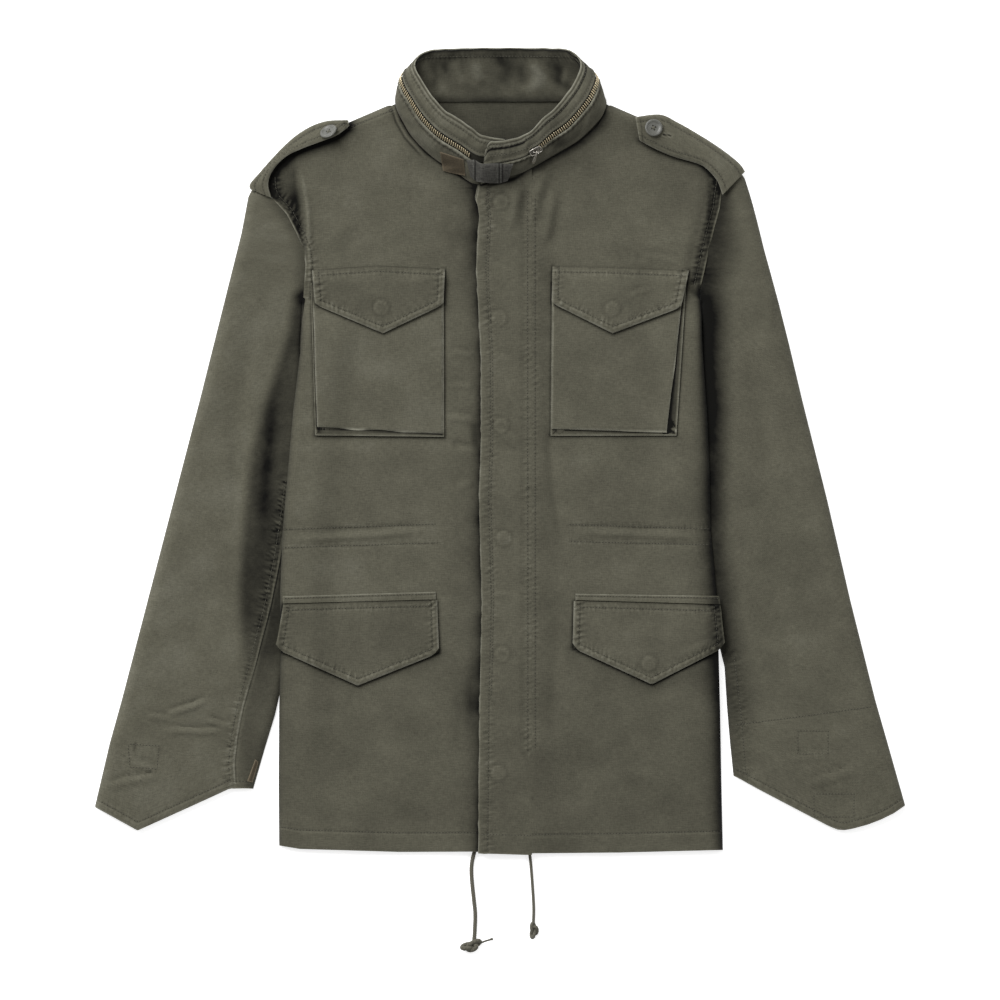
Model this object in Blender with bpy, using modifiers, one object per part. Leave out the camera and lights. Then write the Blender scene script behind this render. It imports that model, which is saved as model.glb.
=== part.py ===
"""A field jacket laid flat on its back: thin cloth panels over each other, a standing collar with a
hood zip, bellows pockets, epaulettes and hem drawcords.

The frame is the garment's own: the origin is under its middle on the surface it lies on, +X is towards
the wearer's left side, +Y towards the collar and +Z up from the surface. Tables are in millimetres.
"right" and "left" are the wearer's, so right is at -X.
"""

import math
from collections import namedtuple

import bmesh
import bpy
import numpy as np
from mathutils import Matrix, Vector
from mathutils.bvhtree import BVHTree

MM = 0.001

# Cloth and seams
WALL = 2.2            # lined cotton sateen, shell and lining together
SEAM = 0.3            # clear space between two pieces sewn together
LAY_CLEAR = 0.6       # and between a piece and what it lies on
FLAP_WALL = 2.0       # two layers of sateen
COLLAR_OUTER = 1.5
COLLAR_INNER = 1.2

# How the panels lie on each other
FRONT_TOP = 7.4       # top of a front panel above the surface, away from folds
SLEEVE_MARGIN_TOP = 6.4   # top of a sleeve where the body lies on it
SLEEVE_MARGIN = 28.0  # breadth of that flat margin
BODY_LIFT = 6.8       # how far the body is carried up by a sleeve under its side
LIFT_FULL = 26.0      # it is fully up from its edge to here
LIFT_NONE = 60.0      # and down on the surface from here inwards
UNDERARM_RAMP = 45.0  # length over which it climbs below the underarm
LIFT_LOW_FULL = -258.0    # where the sleeves part from the body above the hem
LIFT_LOW_NONE = -330.0
ROLL = 9.0            # breadth of a rolled edge
EDGE_RISE = 0.6       # an edge that rolls under ends this far above its underside
UNDER_INSET = 4.6     # the under panel ends this far inside the rolled edge
SEAM_DIP = 1.7        # depth of the valley along an armhole seam
SEAM_VALLEY = 13.0
NECK_RISE = {-1: 1.2, 1: 3.5}   # the front climbs to the collar by this much
NECK_REACH = 42.0
HEM_FOLD = 0.7        # the turned-up hem is thicker by this
HEM_DEPTH = 19.0
CENTRE_SPLIT = 12.0   # where the two fronts meet under the storm flap
BOTTOM = -404.0       # lowest row of a body panel, before it follows the hem's own curve
HEM_BLEND = 60.0      # height over which the rows ease into that curve

RIGHT, LEFT = -1, 1
SIDE_NAME = {RIGHT: "right", LEFT: "left"}

# Plan outlines, each a row of (y, x), from the hem upwards
At = namedtuple("At", "y x")
SIDE = {
    RIGHT: [At(-404, -221), At(-330, -221.5), At(-258, -221), At(-200, -219.3), At(-140, -220),
            At(-80, -217.5), At(-20, -212.3), At(40, -207), At(100, -199.7), At(151, -197)],
    LEFT: [At(-404, 223), At(-330, 221.5), At(-258, 220.3), At(-200, 218.8), At(-140, 216.3),
           At(-80, 210.8), At(-20, 209.8), At(40, 207.2), At(100, 202.8), At(163.5, 200.8)],
}
ARMHOLE = {
    RIGHT: [At(151, -197), At(187, -194.6), At(202, -197), At(218.4, -204), At(237.5, -214),
            At(253.2, -228.6), At(264, -231.5), At(275, -232)],
    LEFT: [At(163.5, 200.8), At(177.3, 204), At(200.3, 209), At(223.2, 214.6), At(243, 220),
           At(255.4, 221.5), At(271, 224), At(290, 228)],
}
SHOULDER = {
    RIGHT: [At(275, -232), At(288, -225), At(299, -214), At(317, -178), At(331.4, -145),
            At(349, -104)],
    LEFT: [At(290, 228), At(298, 216), At(310, 191), At(325, 160), At(335, 136), At(348, 106)],
}
NECK = {
    RIGHT: [At(261, 12), At(264, -18), At(275, -38.6), At(288, -58.8), At(299, -74), At(317, -90.2),
            At(331.4, -98.4), At(349, -104)],
    LEFT: [At(271, 12), At(290, 44), At(298, 58.5), At(310, 79), At(325, 95.8), At(335, 102),
           At(348, 105.5)],
}
HEM = [At(-394.6, -221), At(-398, -200), At(-401, -100), At(-400.7, -29), At(-402.4, 29),
       At(-401.6, 120), At(-399, 223)]

# Sleeves: each row runs from the outer edge to the inner edge, from the sleeve head to the cuff
Across = namedtuple("Across", "outer_x outer_y inner_x inner_y")
SLEEVE = {
    RIGHT: [Across(-234.6, 273.4, -231.8, 271), Across(-246, 262.5, -231.5, 264),
            Across(-250.5, 254, -228.6, 253.2), Across(-253.5, 238, -214, 237.5),
            Across(-257.5, 217, -204, 218.4), Across(-261.5, 201, -197, 202),
            Across(-265.5, 185, -194.6, 187), Across(-274, 151, -197.8, 148),
            Across(-286.5, 101, -200.2, 104),
            Across(-299, 51, -196, 51), Across(-312, 1, -196.6, -10), Across(-325, -49, -198.2, -69),
            Across(-338, -99, -202, -119), Across(-351, -149, -206.6, -172), Across(-364, -199, -215, -216),
            Across(-377, -249, -226, -264), Across(-389, -292, -236, -297),
            Across(-404, -356, -247.7, -337.5)],
    LEFT: [Across(231, 289, 227.6, 288), Across(243.5, 272.5, 224, 271),
           Across(248.8, 256, 221.5, 255.4), Across(252.5, 243, 220, 243),
           Across(257.5, 223.5, 214.6, 223.2), Across(263, 201, 209, 200.3),
           Across(269.5, 177.5, 204, 177.3), Across(278, 146, 202.2, 148),
           Across(288, 106, 202, 118), Across(301, 51, 200, 55),
           Across(313.5, 1, 201.2, -9), Across(326, -49, 204, -65), Across(337.5, -99, 209, -122),
           Across(349, -149, 216, -177), Across(361.5, -199, 225.5, -216), Across(374, -249, 228, -256),
           Across(388, -298, 231, -292), Across(404, -354.6, 234.4, -325)],
}
# The pointed cuff: how far the edge hangs below the line between its two ends
Point = namedtuple("Point", "across drop")
CUFF = {
    RIGHT: [Point(0, 0), Point(0.266, 28), Point(0.857, -3), Point(1, 0)],
    LEFT: [Point(0, 0), Point(0.375, 37.5), Point(1, 0)],
}
CUFF_FADE = 1.0       # sections over which the point fades out up the sleeve

# Main folds of the fronts: a soft ridge (or trough, when negative) along a line
Fold = namedtuple("Fold", "x0 y0 x1 y1 breadth height")
FOLDS = [
    Fold(-189, 285, -189, 165, 6, 0.9),
    Fold(-35, 235, -38, -330, 13, -1.6),
    Fold(-160, 60, -60, 20, 16, -0.7),
    Fold(-205, -60, -120, -110, 12, -0.8),
    Fold(204, 265, 200, 200, 7, 0.9),
    Fold(60, 255, 45, -60, 14, -0.8),
    Fold(190, -40, 110, -100, 14, -0.8),
]

# The collar, section by section round the neck, from the right front end (below) to the left front
# end (on top): a point on the neck seam, the point above it on the top edge, and the outward bulge
Section = namedtuple("Section", "seam top bulge")
COLLAR = [
    Section((12, 275, 8.0), (6, 316, 28.5), 4),
    Section((-22, 266.4, 8.8), (-17, 316.5, 30.5), 4.5),
    Section((-45, 279.4, 9.3), (-34.5, 328.5, 32.0), 5),
    Section((-67, 293.4, 9.9), (-54, 341, 33.0), 5),
    Section((-87, 313, 10.8), (-66, 354, 32.0), 5.5),
    Section((-98.4, 331.4, 11.4), (-76, 369, 29.5), 6),
    Section((-103.6, 342.5, 10.0), (-82.5, 379.5, 26.5), 6),
    Section((-105, 350, 6.8), (-84.5, 388, 22.0), 6),
    Section((-102, 353.5, 3.2), (-80, 396, 18.0), 5),
    Section((-93, 351.5, 1.4), (-70, 401.5, 15.0), 4),
    Section((-62, 349, 0.9), (-50, 403.2, 13.0), 4),
    Section((0, 348.8, 0.9), (0, 404, 12.0), 4),
    Section((62, 349, 0.9), (54, 403.2, 13.0), 4),
    Section((94, 351, 1.4), (70, 401.5, 15.0), 4),
    Section((103.5, 352.6, 3.2), (78, 394, 18.0), 5),
    Section((106.5, 349, 7.6), (80, 386, 22.0), 6),
    Section((105.5, 342, 11.4), (77.5, 377, 27.0), 6),
    Section((99, 330.4, 13.0), (70.5, 364, 30.5), 6),
    Section((79, 311, 13.0), (56, 345, 34.0), 5.5),
    Section((59, 299, 13.2), (42.5, 333, 36.0), 5),
    Section((41, 289, 13.6), (28, 318.5, 37.0), 5),
    Section((20, 277.4, 14.2), (8, 312, 37.5), 5),
    Section((-19, 267, 14.8), (-14, 310, 37.8), 4.5),
]
ZIP_BAND = (0.475, 0.585)     # the hood zip's place between seam and top edge
ZIP_CHAIN = (0.512, 0.548)
CHAIN_FROM = 1.5              # section of the collar where its teeth begin
BAND_GAP = 0.006              # clear share between the zip and the cloth on both sides
TAPE_SINK = 0.4
CHAIN_PROUD = 0.9


# What lies on the fronts: outlines in the garment's plan, wearer's right then left
Face = namedtuple("Face", "top_outer top_inner low_inner low_outer")
CHEST_FACE = {
    RIGHT: Face((-187.5, 166), (-57.2, 166), (-57.4, 16.8), (-183, 23.5)),
    LEFT: Face((184, 166), (53, 166), (51.5, 21.6), (167, 19)),
}
CHEST_GUSSET = {
    RIGHT: Face((-189.2, 168), (-56.4, 168), (-56.2, 14.4), (-184.5, 15.8)),
    LEFT: Face((186.4, 168), (52, 168), (50.6, 15.2), (176.4, 15.4)),
}
GUSSET_BREADTH = 14.0
GUSSET_WALL = 1.3
FACE_WALL = 1.5
POCKET_CROWN = 0.8

# A pointed flap: its top edge and its lower edge, each from the outer end to the inner end
Flap = namedtuple("Flap", "top low tip_share")
CHEST_FLAP = {
    RIGHT: Flap(((-188, 181), (-122, 185.7), (-55, 182.2)),
                ((-185.2, 146.5), (-117, 117.7), (-56.5, 146.5)), 0.53),
    LEFT: Flap(((189, 180.8), (116, 184), (52.6, 185)),
               ((181.4, 143.7), (112.6, 117.7), (51.6, 148)), 0.53),
}
LOWER_FLAP = {
    RIGHT: Flap(((-216.8, -153.4), (-140, -151), (-62.7, -149.3)),
                ((-224.2, -198), (-142.4, -234.7), (-61, -202)), 0.5),
    LEFT: Flap(((220.6, -154.2), (147, -152), (73.8, -150)),
               ((225, -196), (151.7, -233.4), (72.6, -197)), 0.48),
}
LOWER_WELT = {
    RIGHT: Face((-217.4, -145.4), (-64.3, -140.7), (-64.3, -148.4), (-216.8, -152.4)),
    LEFT: Face((219, -145), (75.5, -142.7), (75.5, -149), (220.4, -153.2)),
}
WELT_WALL = 1.3

# The storm flap: its free edge, from the hem up; its root is a straight row of stitching
STORM_FREE = [At(-404, -22), At(-247, -20.6), At(-151, -18.3), At(-46, -21.2), At(4, -19.3),
              At(91, -19.3), At(182, -24), At(234, -21.2), At(251, -24), At(266, -21.2)]
STORM_ROOT = 32.0
STORM_LONGER = 1.6    # it hangs this far below the front's hem
STORM_TOP_REACH = 34.0    # its free edge is read up to this far above its last even row

# An epaulette, section by section from its buttoned tip to the sleeve head
Strap = namedtuple("Strap", "low far low_z mid_z far_z")
EPAULETTE = {
    RIGHT: [Strap((-151.5, 325), (-152.3, 330.3), 12.5, 11.8, 9.5),
            Strap((-164, 316), (-173, 329.5), 13.8, 11.6, 5.0),
            Strap((-180.5, 309.5), (-190, 323.5), 14.5, 11.2, 3.4),
            Strap((-197, 303.5), (-207, 312), 14.5, 11.0, 3.0),
            Strap((-214, 295.5), (-224, 296), 13.6, 10.6, 3.0),
            Strap((-227, 282.5), (-239, 279), 12.6, 10.2, 3.2),
            Strap((-232.5, 268), (-249.3, 266.5), 11.0, 9.9, 5.8),
            Strap((-229.6, 253.5), (-248.3, 261.2), 9.2, 9.4, 7.8)],
    LEFT: [Strap((140.4, 311), (136, 333.4), 13.2, 14.4, 12.0),
           Strap((158, 301.5), (160, 336), 11.4, 13.2, 6.0),
           Strap((176, 294.4), (176.5, 328.5), 10.6, 12.4, 5.0),
           Strap((197.8, 288), (199, 315.5), 10.4, 12.0, 4.6),
           Strap((207, 282.8), (219, 303), 10.4, 11.8, 4.4),
           Strap((217.7, 270.7), (237.6, 288.3), 10.2, 11.4, 4.4),
           Strap((223, 256.5), (244.5, 279), 9.8, 10.4, 5.4)],
}
BUTTON_AT = {RIGHT: (-171.4, 319.2), LEFT: (153.4, 322.7)}
BUTTON_RADIUS = 8.8
BUTTON_THICK = 3.0
BUTTON_DISH = 5.6
BUTTON_HOLE = 0.9
BUTTON_HOLE_RING = 1.9

# Throat tab: outlines from the outer end to the inner end, top edge then lower edge
THROAT_PAD = (((-60, 299.4), (-48, 295.4), (-36.5, 291.7)), ((-57, 280), (-44, 277), (-34.5, 275.4)))
THROAT_STRAP = (((-33.6, 290.8), (-25.4, 291.4), (-18.3, 287), (-8, 287.4), (2, 287.4), (13, 286.6)),
                ((-29.5, 274), (-24, 269.6), (-17, 268.4), (-9, 267.6), (0, 267.6), (7.8, 270)))
PAD_WALL = 1.2
STRAP_WALL = 1.6
PAD_REACH = 0.8       # a strip laid over steps clears all that lies this near
STRAP_REACH = 3.0

CUFF_PAD = Face((-244.6, -308.5), (-241.6, -311), (-247.4, -331.5), (-252.6, -330))

# Hood zip slider and its pull tab
SLIDER_AT = 20.05     # section of the collar where it stands
SLIDER_SIZE = (10.5, 7.6, 2.2)     # along the zip, across it, thick
PIN_RADIUS = 0.5
PIN_LENGTH = 5.0
PIN_HEIGHT = 5.2
POST = 1.3
EYE_RADIUS = 1.7
EYE_HOLE = 0.85
EYE_WIDTH = 1.8
PULL_LENGTH = 17.0
PULL_WIDTH = 4.0
PULL_THICK = 0.9
PULL_SWING = math.radians(-27.8)   # the pin stands turned by this about the zip's normal
PULL_END = (20.35, 0.24)           # the collar's section and share under the tab's end
PULL_END_CLEAR = 3.2

# Hem drawcords: (x, y, height above where the cord lies on the surface)
CORD_RADIUS = {RIGHT: 2.1, LEFT: 1.6}
CORD_ROUTE = {
    RIGHT: [(-24.6, -397.7, 1.3), (-26.4, -404, 0.7), (-28.1, -412, 0), (-28.6, -420, 0), (-28, -431, 0),
            (-26, -450, 0), (-24.8, -462.4, 0), (-25.1, -477, 0), (-25.9, -489.9, 0)],
    LEFT: [(29.2, -398.8, 2.3), (30, -405.5, 1.3), (31, -415, 0.1), (33, -442.6, 0), (33.7, -458, 0),
           (33.4, -472.2, 0)],
}
FLOOR_CLEAR = 0.1     # cords and knots lie this far clear of the surface
TAIL_ROUTE = [(-18.4, -491.4, 3.4), (-15, -490.2, 2.8), (-11, -489, 1.9), (-7.2, -487.7, 1.3)]
TAIL_RADIUS = 1.0
Knot = namedtuple("Knot", "centre half_length half_width half_height turn")
KNOT = {
    RIGHT: Knot((-28.8, -495.2), 10.6, 4.2, 4.2, math.radians(19)),
    LEFT: Knot((33.5, -479.9), 7.2, 4.4, 3.6, math.radians(88)),
}
BACK_HEM_SHORT = 4.4  # the back's hem stops this far above the front's


def smooth(share):
    """0 to 1 with level ends."""
    share = min(max(share, 0.0), 1.0)
    return share * share * (3.0 - 2.0 * share)


def x_at(rows, y):
    return float(np.interp(y, [row.y for row in rows], [row.x for row in rows]))


def distance_to(path, x, y):
    """Plan distance from a point to a line of points."""
    points = np.array([(row.x, row.y) for row in path], dtype=float)
    start, run = points[:-1], points[1:] - points[:-1]
    reach = ((x - start[:, 0]) * run[:, 0] + (y - start[:, 1]) * run[:, 1]) / (run ** 2).sum(axis=1)
    foot = start + run * np.clip(reach, 0.0, 1.0)[:, None]
    return float(np.hypot(foot[:, 0] - x, foot[:, 1] - y).min())


def roll(distance):
    """Quarter ellipse of a rolled edge: 0 at the edge, 1 from ROLL inwards."""
    share = min(distance / ROLL, 1.0)
    return math.sqrt(1.0 - (1.0 - share) ** 2)


SLEEVE_OUTER = {side: [At(row.outer_y, row.outer_x) for row in reversed(SLEEVE[side])]
                for side in SLEEVE}
SLEEVE_INNER = {side: [At(row.inner_y, row.inner_x) for row in reversed(SLEEVE[side])]
                for side in SLEEVE}
UNDERARM = {side: ARMHOLE[side][0] for side in ARMHOLE}
SLEEVE_HIDDEN = {side: [row for row in SLEEVE_INNER[side] if row.y <= UNDERARM[side].y]
                 for side in SLEEVE}
HEAD = {side: [At(SLEEVE_OUTER[side][-1].y, SLEEVE_OUTER[side][-1].x), ARMHOLE[side][-1]]
        for side in SLEEVE}


CLIMB_LINE = {RIGHT: NECK[RIGHT], LEFT: [At(266, -22)] + NECK[LEFT]}


def lift(side, x, y):
    """How far the body is carried up by the sleeve under its side."""
    inside = side * (x_at(SIDE[side], y) - x)
    high = smooth((UNDERARM[side].y - y) / UNDERARM_RAMP)
    low = smooth((y - LIFT_LOW_NONE) / (LIFT_LOW_FULL - LIFT_LOW_NONE))
    return BODY_LIFT * high * low * smooth((LIFT_NONE - inside) / (LIFT_NONE - LIFT_FULL))


def fold_height(x, y):
    total = 0.0
    for fold in FOLDS:
        run = Vector((fold.x1 - fold.x0, fold.y1 - fold.y0))
        offset = Vector((x - fold.x0, y - fold.y0))
        along = offset.dot(run) / run.length_squared
        aside = abs(run.cross(offset)) / run.length
        taper = smooth(along / 0.3) * smooth((1.0 - along) / 0.3)
        total += fold.height * taper * math.exp(-(aside / fold.breadth) ** 2)
    return total


def front_level(side, x, y):
    """Top of a front panel before its edges roll under."""
    climb = NECK_RISE[side] * (1.0 - smooth(distance_to(CLIMB_LINE[side], x, y) / NECK_REACH))
    hem = HEM_FOLD * smooth((hem_y(x) + HEM_DEPTH - y) / 2.0)
    return FRONT_TOP + lift(side, x, y) + climb + fold_height(x, y) + hem


def front_height(side, x, y):
    level = front_level(side, x, y)
    edge = EDGE_RISE + lift(side, x, y)
    away = min(distance_to(SIDE[side], x, y), distance_to(SHOULDER[side], x, y))
    rolled = edge + (level - edge) * roll(away)
    valley = SEAM_DIP * (1.0 - smooth(distance_to(ARMHOLE[side], x, y) / SEAM_VALLEY))
    return min(rolled, level - valley)


def sleeve_height(side, x, y):
    from_inner = distance_to(SLEEVE_HIDDEN[side], x, y)
    climb = smooth((from_inner - SLEEVE_MARGIN) / SLEEVE_MARGIN)
    level = SLEEVE_MARGIN_TOP + (FRONT_TOP - SLEEVE_MARGIN_TOP) * climb
    away = min(from_inner, distance_to(SLEEVE_OUTER[side], x, y), distance_to(HEAD[side], x, y))
    rolled = EDGE_RISE + (level - EDGE_RISE) * roll(away)
    valley = SEAM_DIP * (1.0 - smooth(distance_to(ARMHOLE[side], x, y) / SEAM_VALLEY))
    return min(rolled, level - valley)


def hem_y(x):
    return float(np.interp(x, [row.x for row in HEM], [row.y for row in HEM]))


def hem_shift(x, level, short=0.0):
    """How far a point near the bottom of a panel moves so that its lowest row follows the hem."""
    return (hem_y(x) - BOTTOM + short) * max(0.0, 1.0 - (level - BOTTOM) / HEM_BLEND)


# Scene helpers

def clear_scene():
    for obj in list(bpy.data.objects):
        bpy.data.objects.remove(obj, do_unlink=True)


def material(name, colour, roughness, metallic=0.0):
    made = bpy.data.materials.new(name)
    made.use_nodes = True
    shader = made.node_tree.nodes["Principled BSDF"]
    shader.inputs["Base Color"].default_value = (*colour, 1.0)
    shader.inputs["Roughness"].default_value = roughness
    shader.inputs["Metallic"].default_value = metallic
    made.diffuse_color = (*colour, 1.0)
    return made


def add_object(name, bm, finish, collection):
    mesh = bpy.data.meshes.new(name)
    bm.to_mesh(mesh)
    bm.free()
    mesh.materials.append(finish)
    obj = bpy.data.objects.new(name, mesh)
    collection.objects.link(obj)
    return obj


def sheet(name, columns, rows, place, wall, finish, collection, face_down=False):
    """A cloth wall: a grid whose outer face runs through place(column, row), thickened inwards."""
    bm = bmesh.new()
    bmesh.ops.create_grid(bm, x_segments=columns, y_segments=rows, size=1.0)
    for vert in bm.verts:
        column = round((vert.co.x + 1.0) / 2.0 * columns)
        row = round((vert.co.y + 1.0) / 2.0 * rows)
        vert.co = Vector(place(column, row)) * MM
    if face_down:
        bmesh.ops.reverse_faces(bm, faces=bm.faces)
    obj = add_object(name, bm, finish, collection)
    obj.data.shade_smooth()
    shell = obj.modifiers.new("cloth wall", "SOLIDIFY")
    shell.thickness = wall * MM
    shell.offset = -1.0
    shell.use_even_offset = True
    return obj


EDGE_STEPS = (0.0, 0.6, 2.2, 5.0, ROLL)
LIFT_STEPS = (LIFT_FULL, 37.0, 49.0, LIFT_NONE)
SIDE_STEPS = EDGE_STEPS + (17.0,) + LIFT_STEPS
FRONT_CELLS = 5
BODY_LEVELS = [-404, -384.5, -381, -330, -294, -258, -200, -140, -80, -20, 40, 100, 128]
NECK_TOP = 345.5      # the fronts' last row, where shoulder and neck all but meet
CORNER_TURN = (5.0, 12.0)     # rows above the underarm, where the rolled edge runs out


def stretch_of(rows, y):
    """How much longer a step across is than the distance it covers square to the edge."""
    slope = (x_at(rows, y + 2.0) - x_at(rows, y - 2.0)) / 4.0
    return math.hypot(1.0, slope)


def spread(width, stretch):
    """Places across a front at one level, close together at its rolled outer edge."""
    squeeze = min(1.0, width / (1.25 * LIFT_NONE * stretch))
    near = [step * stretch * squeeze for step in SIDE_STEPS]
    cell = (width - near[-1]) / FRONT_CELLS
    return near + [near[-1] + cell * count for count in range(1, FRONT_CELLS + 1)]


def front_levels(side):
    """Heights of a front's rows: the body's even ones, then the corners of its outline."""
    underarm = UNDERARM[side].y
    corners = [row.y for row in ARMHOLE[side] + SHOULDER[side][1:-1]]
    return BODY_LEVELS + sorted(corners + [underarm + step for step in CORNER_TURN]) + [NECK_TOP]


def make_front(side, finish, collection):
    outer = SIDE[side] + ARMHOLE[side][1:] + SHOULDER[side][1:]
    neck = [At(BODY_LEVELS[0], CENTRE_SPLIT)] + NECK[side]
    levels = front_levels(side)

    def place(column, row):
        level = levels[row]
        start = x_at(outer, level) - side * SEAM / 2.0
        end = x_at(neck, level) + side * SEAM / 2.0
        steps = spread(abs(end - start), stretch_of(outer, level))
        x = start - side * steps[column]
        y = level + hem_shift(x, level)
        return x, y, front_height(side, x, y)

    columns = len(SIDE_STEPS) - 1 + FRONT_CELLS
    return sheet("front_" + SIDE_NAME[side], columns, len(levels) - 1, place, WALL, finish, collection,
                 face_down=side == LEFT)


WALK = 0.2


def walk_in(start, heading, paths, clearance):
    """The first point from start, going along a heading, that is clear of some lines."""
    spot = Vector(start)
    while min(distance_to(path, spot.x, spot.y) for path in paths) < clearance:
        spot += heading * WALK
    return spot


BACK_LEVELS = [-404, -330, -294, -258, -200, -140, -80, -20, 40, 104, 128, 151, 157, 166, 177.3, 188, 201,
               220, 240, 254.5, 267, 278, 290, 302, 317, 332, 348]
BACK_STEPS = (0.0,) + LIFT_STEPS
BACK_MIDDLE_CELLS = 3
BACK_SEAM = 1.4       # the back stands this far from the sleeves' under halves


def make_back(finish, collection):
    """The under panel: flat on the surface, carried up at its sides by the sleeves."""
    outlines = {side: SIDE[side] + ARMHOLE[side][1:] + SHOULDER[side][1:] for side in SIDE}

    def edge_x(side, level):
        start = (x_at(outlines[side], level) - side * BACK_SEAM, level)
        return walk_in(start, Vector((-side, 0)), (SIDE[side], SHOULDER[side]), UNDER_INSET).x

    def place(column, row):
        level = BACK_LEVELS[row]
        start, end = edge_x(RIGHT, level), edge_x(LEFT, level)
        squeeze = min(1.0, (end - start) / (3.0 * LIFT_NONE))
        near = [step * squeeze for step in BACK_STEPS]
        middle = (end - start) - 2.0 * near[-1]
        across = near + [near[-1] + middle * cell / BACK_MIDDLE_CELLS
                         for cell in range(1, BACK_MIDDLE_CELLS)]
        across += [end - start - step for step in reversed(near)]
        x = start + across[column]
        y = level + hem_shift(x, level, BACK_HEM_SHORT)
        side = RIGHT if x < 0 else LEFT
        return x, y, lift(side, x, y)

    columns = 2 * len(BACK_STEPS) + BACK_MIDDLE_CELLS - 2
    return sheet("back", columns, len(BACK_LEVELS) - 1, place, WALL, finish, collection, face_down=True)


SLEEVE_TABLE = {side: np.array(SLEEVE[side], dtype=float) for side in SLEEVE}


def sleeve_row(side, station):
    """Outer and inner end of the sleeve's section at a station of its table."""
    table = SLEEVE_TABLE[side]
    stations = np.arange(len(table))
    row = [float(np.interp(station, stations, table[:, column])) for column in range(4)]
    return Vector(row[:2]), Vector(row[2:])


def cuff_drop(side, share, station):
    fade = max(0.0, station - (len(SLEEVE[side]) - 1 - CUFF_FADE)) / CUFF_FADE
    points = CUFF[side]
    return fade * float(np.interp(share, [point.across for point in points],
                                  [point.drop for point in points]))


def on_sleeve_row(side, station, outer, inner, share):
    """A point between two ends of a sleeve's section, with the cuff's point hanging below it."""
    spot = outer.lerp(inner, share)
    whole_outer, whole_inner = sleeve_row(side, station)
    whole_share = (spot - whole_outer).length / (whole_inner - whole_outer).length
    return spot.x, spot.y - cuff_drop(side, whole_share, station)


def sleeve_shares(side, width):
    """Places across a sleeve, close together at both rolled edges and one at the cuff's point."""
    squeeze = min(1.0, width / (4.5 * ROLL))
    near = [step * squeeze / width for step in EDGE_STEPS]
    tip = max(CUFF[side][1].across, near[-1] + 0.02)
    far = 1.0 - near[-1]
    middle = [(near[-1] + tip) / 2.0, tip] + [tip + (far - tip) * part for part in (0.35, 0.7)]
    return near + middle + [1.0 - step for step in reversed(near)]


SLEEVE_STATIONS = [0, 0.5, 1, 2, 3, 4, 5, 6, 6.6, 6.8, 6.9, 7] + list(range(8, 17)) + [16.5, 16.85, 17]
UNDER_CELLS = 4
UNDERARM_STATION = 6.7    # from here down the sleeve's inner edge is rolled under


def make_sleeve(side, finish, collection):
    name = "sleeve_" + SIDE_NAME[side]

    def place_upper(column, row):
        station = SLEEVE_STATIONS[row]
        outer, inner = sleeve_row(side, station)
        run = (inner - outer).normalized()
        share = sleeve_shares(side, (inner - outer).length)[column]
        x, y = on_sleeve_row(side, station, outer, inner - run * SEAM / 2.0, share)
        return x, y, sleeve_height(side, x, y)

    def place_under(column, row):
        station = SLEEVE_STATIONS[row + 2]
        outer, inner = sleeve_row(side, station)
        run = (inner - outer).normalized()
        start = walk_in(outer, run, (SLEEVE_OUTER[side], HEAD[side]), UNDER_INSET)
        end = inner - run * WALK
        if station > UNDERARM_STATION:
            end = walk_in(inner - run * UNDER_INSET, -run, (SLEEVE_HIDDEN[side],), UNDER_INSET)
        x, y = on_sleeve_row(side, station, start, end, column / UNDER_CELLS)
        return x, y, 0.0

    columns = len(sleeve_shares(side, 100.0)) - 1
    rows = len(SLEEVE_STATIONS) - 1
    sheet(name + "_upper", columns, rows, place_upper, WALL, finish, collection,
          face_down=side == RIGHT)
    sheet(name + "_under", UNDER_CELLS, rows - 2, place_under, WALL, finish, collection,
          face_down=side == LEFT)


COLLAR_TABLE = np.array([(*row.seam, *row.top, row.bulge) for row in COLLAR], dtype=float)


def collar_section(station):
    """Smooth (Catmull-Rom) reading of the collar table."""
    last = len(COLLAR_TABLE) - 1
    station = min(max(station, 0.0), float(last))
    index = min(int(station), last - 1)
    part = station - index
    before, here, there, after = (COLLAR_TABLE[min(max(index + step, 0), last)]
                                  for step in (-1, 0, 1, 2))
    return 0.5 * (2 * here + (there - before) * part
                  + (2 * before - 5 * here + 4 * there - after) * part ** 2
                  + (3 * here - before - 3 * there + after) * part ** 3)


def collar_skin(station, share):
    row = collar_section(station)
    ahead, behind = collar_section(station + 0.25), collar_section(station - 0.25)
    seam, top = Vector(row[0:3]), Vector(row[3:6])
    rise = top - seam
    tangent = Vector((ahead - behind)[0:3]).lerp(Vector((ahead - behind)[3:6]), share)
    outward = rise.cross(tangent).normalized()
    return seam + rise * share + outward * (row[6] * 4.0 * share * (1.0 - share))


def collar_normal(station, share):
    step = 0.05
    low = min(max(station, step), len(COLLAR) - 1 - step)
    middle = min(max(share, step), 1.0 - step)
    along = collar_skin(low + step, share) - collar_skin(low - step, share)
    rise = collar_skin(station, middle + step) - collar_skin(station, middle - step)
    return rise.cross(along).normalized()


def collar_point(station, share, out=0.0):
    """A point of the collar's outer face, or of a face moved out from it."""
    return collar_skin(station, share) + collar_normal(station, share) * out


COLLAR_STATIONS = sorted(list(range(len(COLLAR))) + [6.5, 7.5, 8.5, 13.5, 14.5, 15.5])


Band = namedtuple("Band", "name shares out wall finish")


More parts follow.
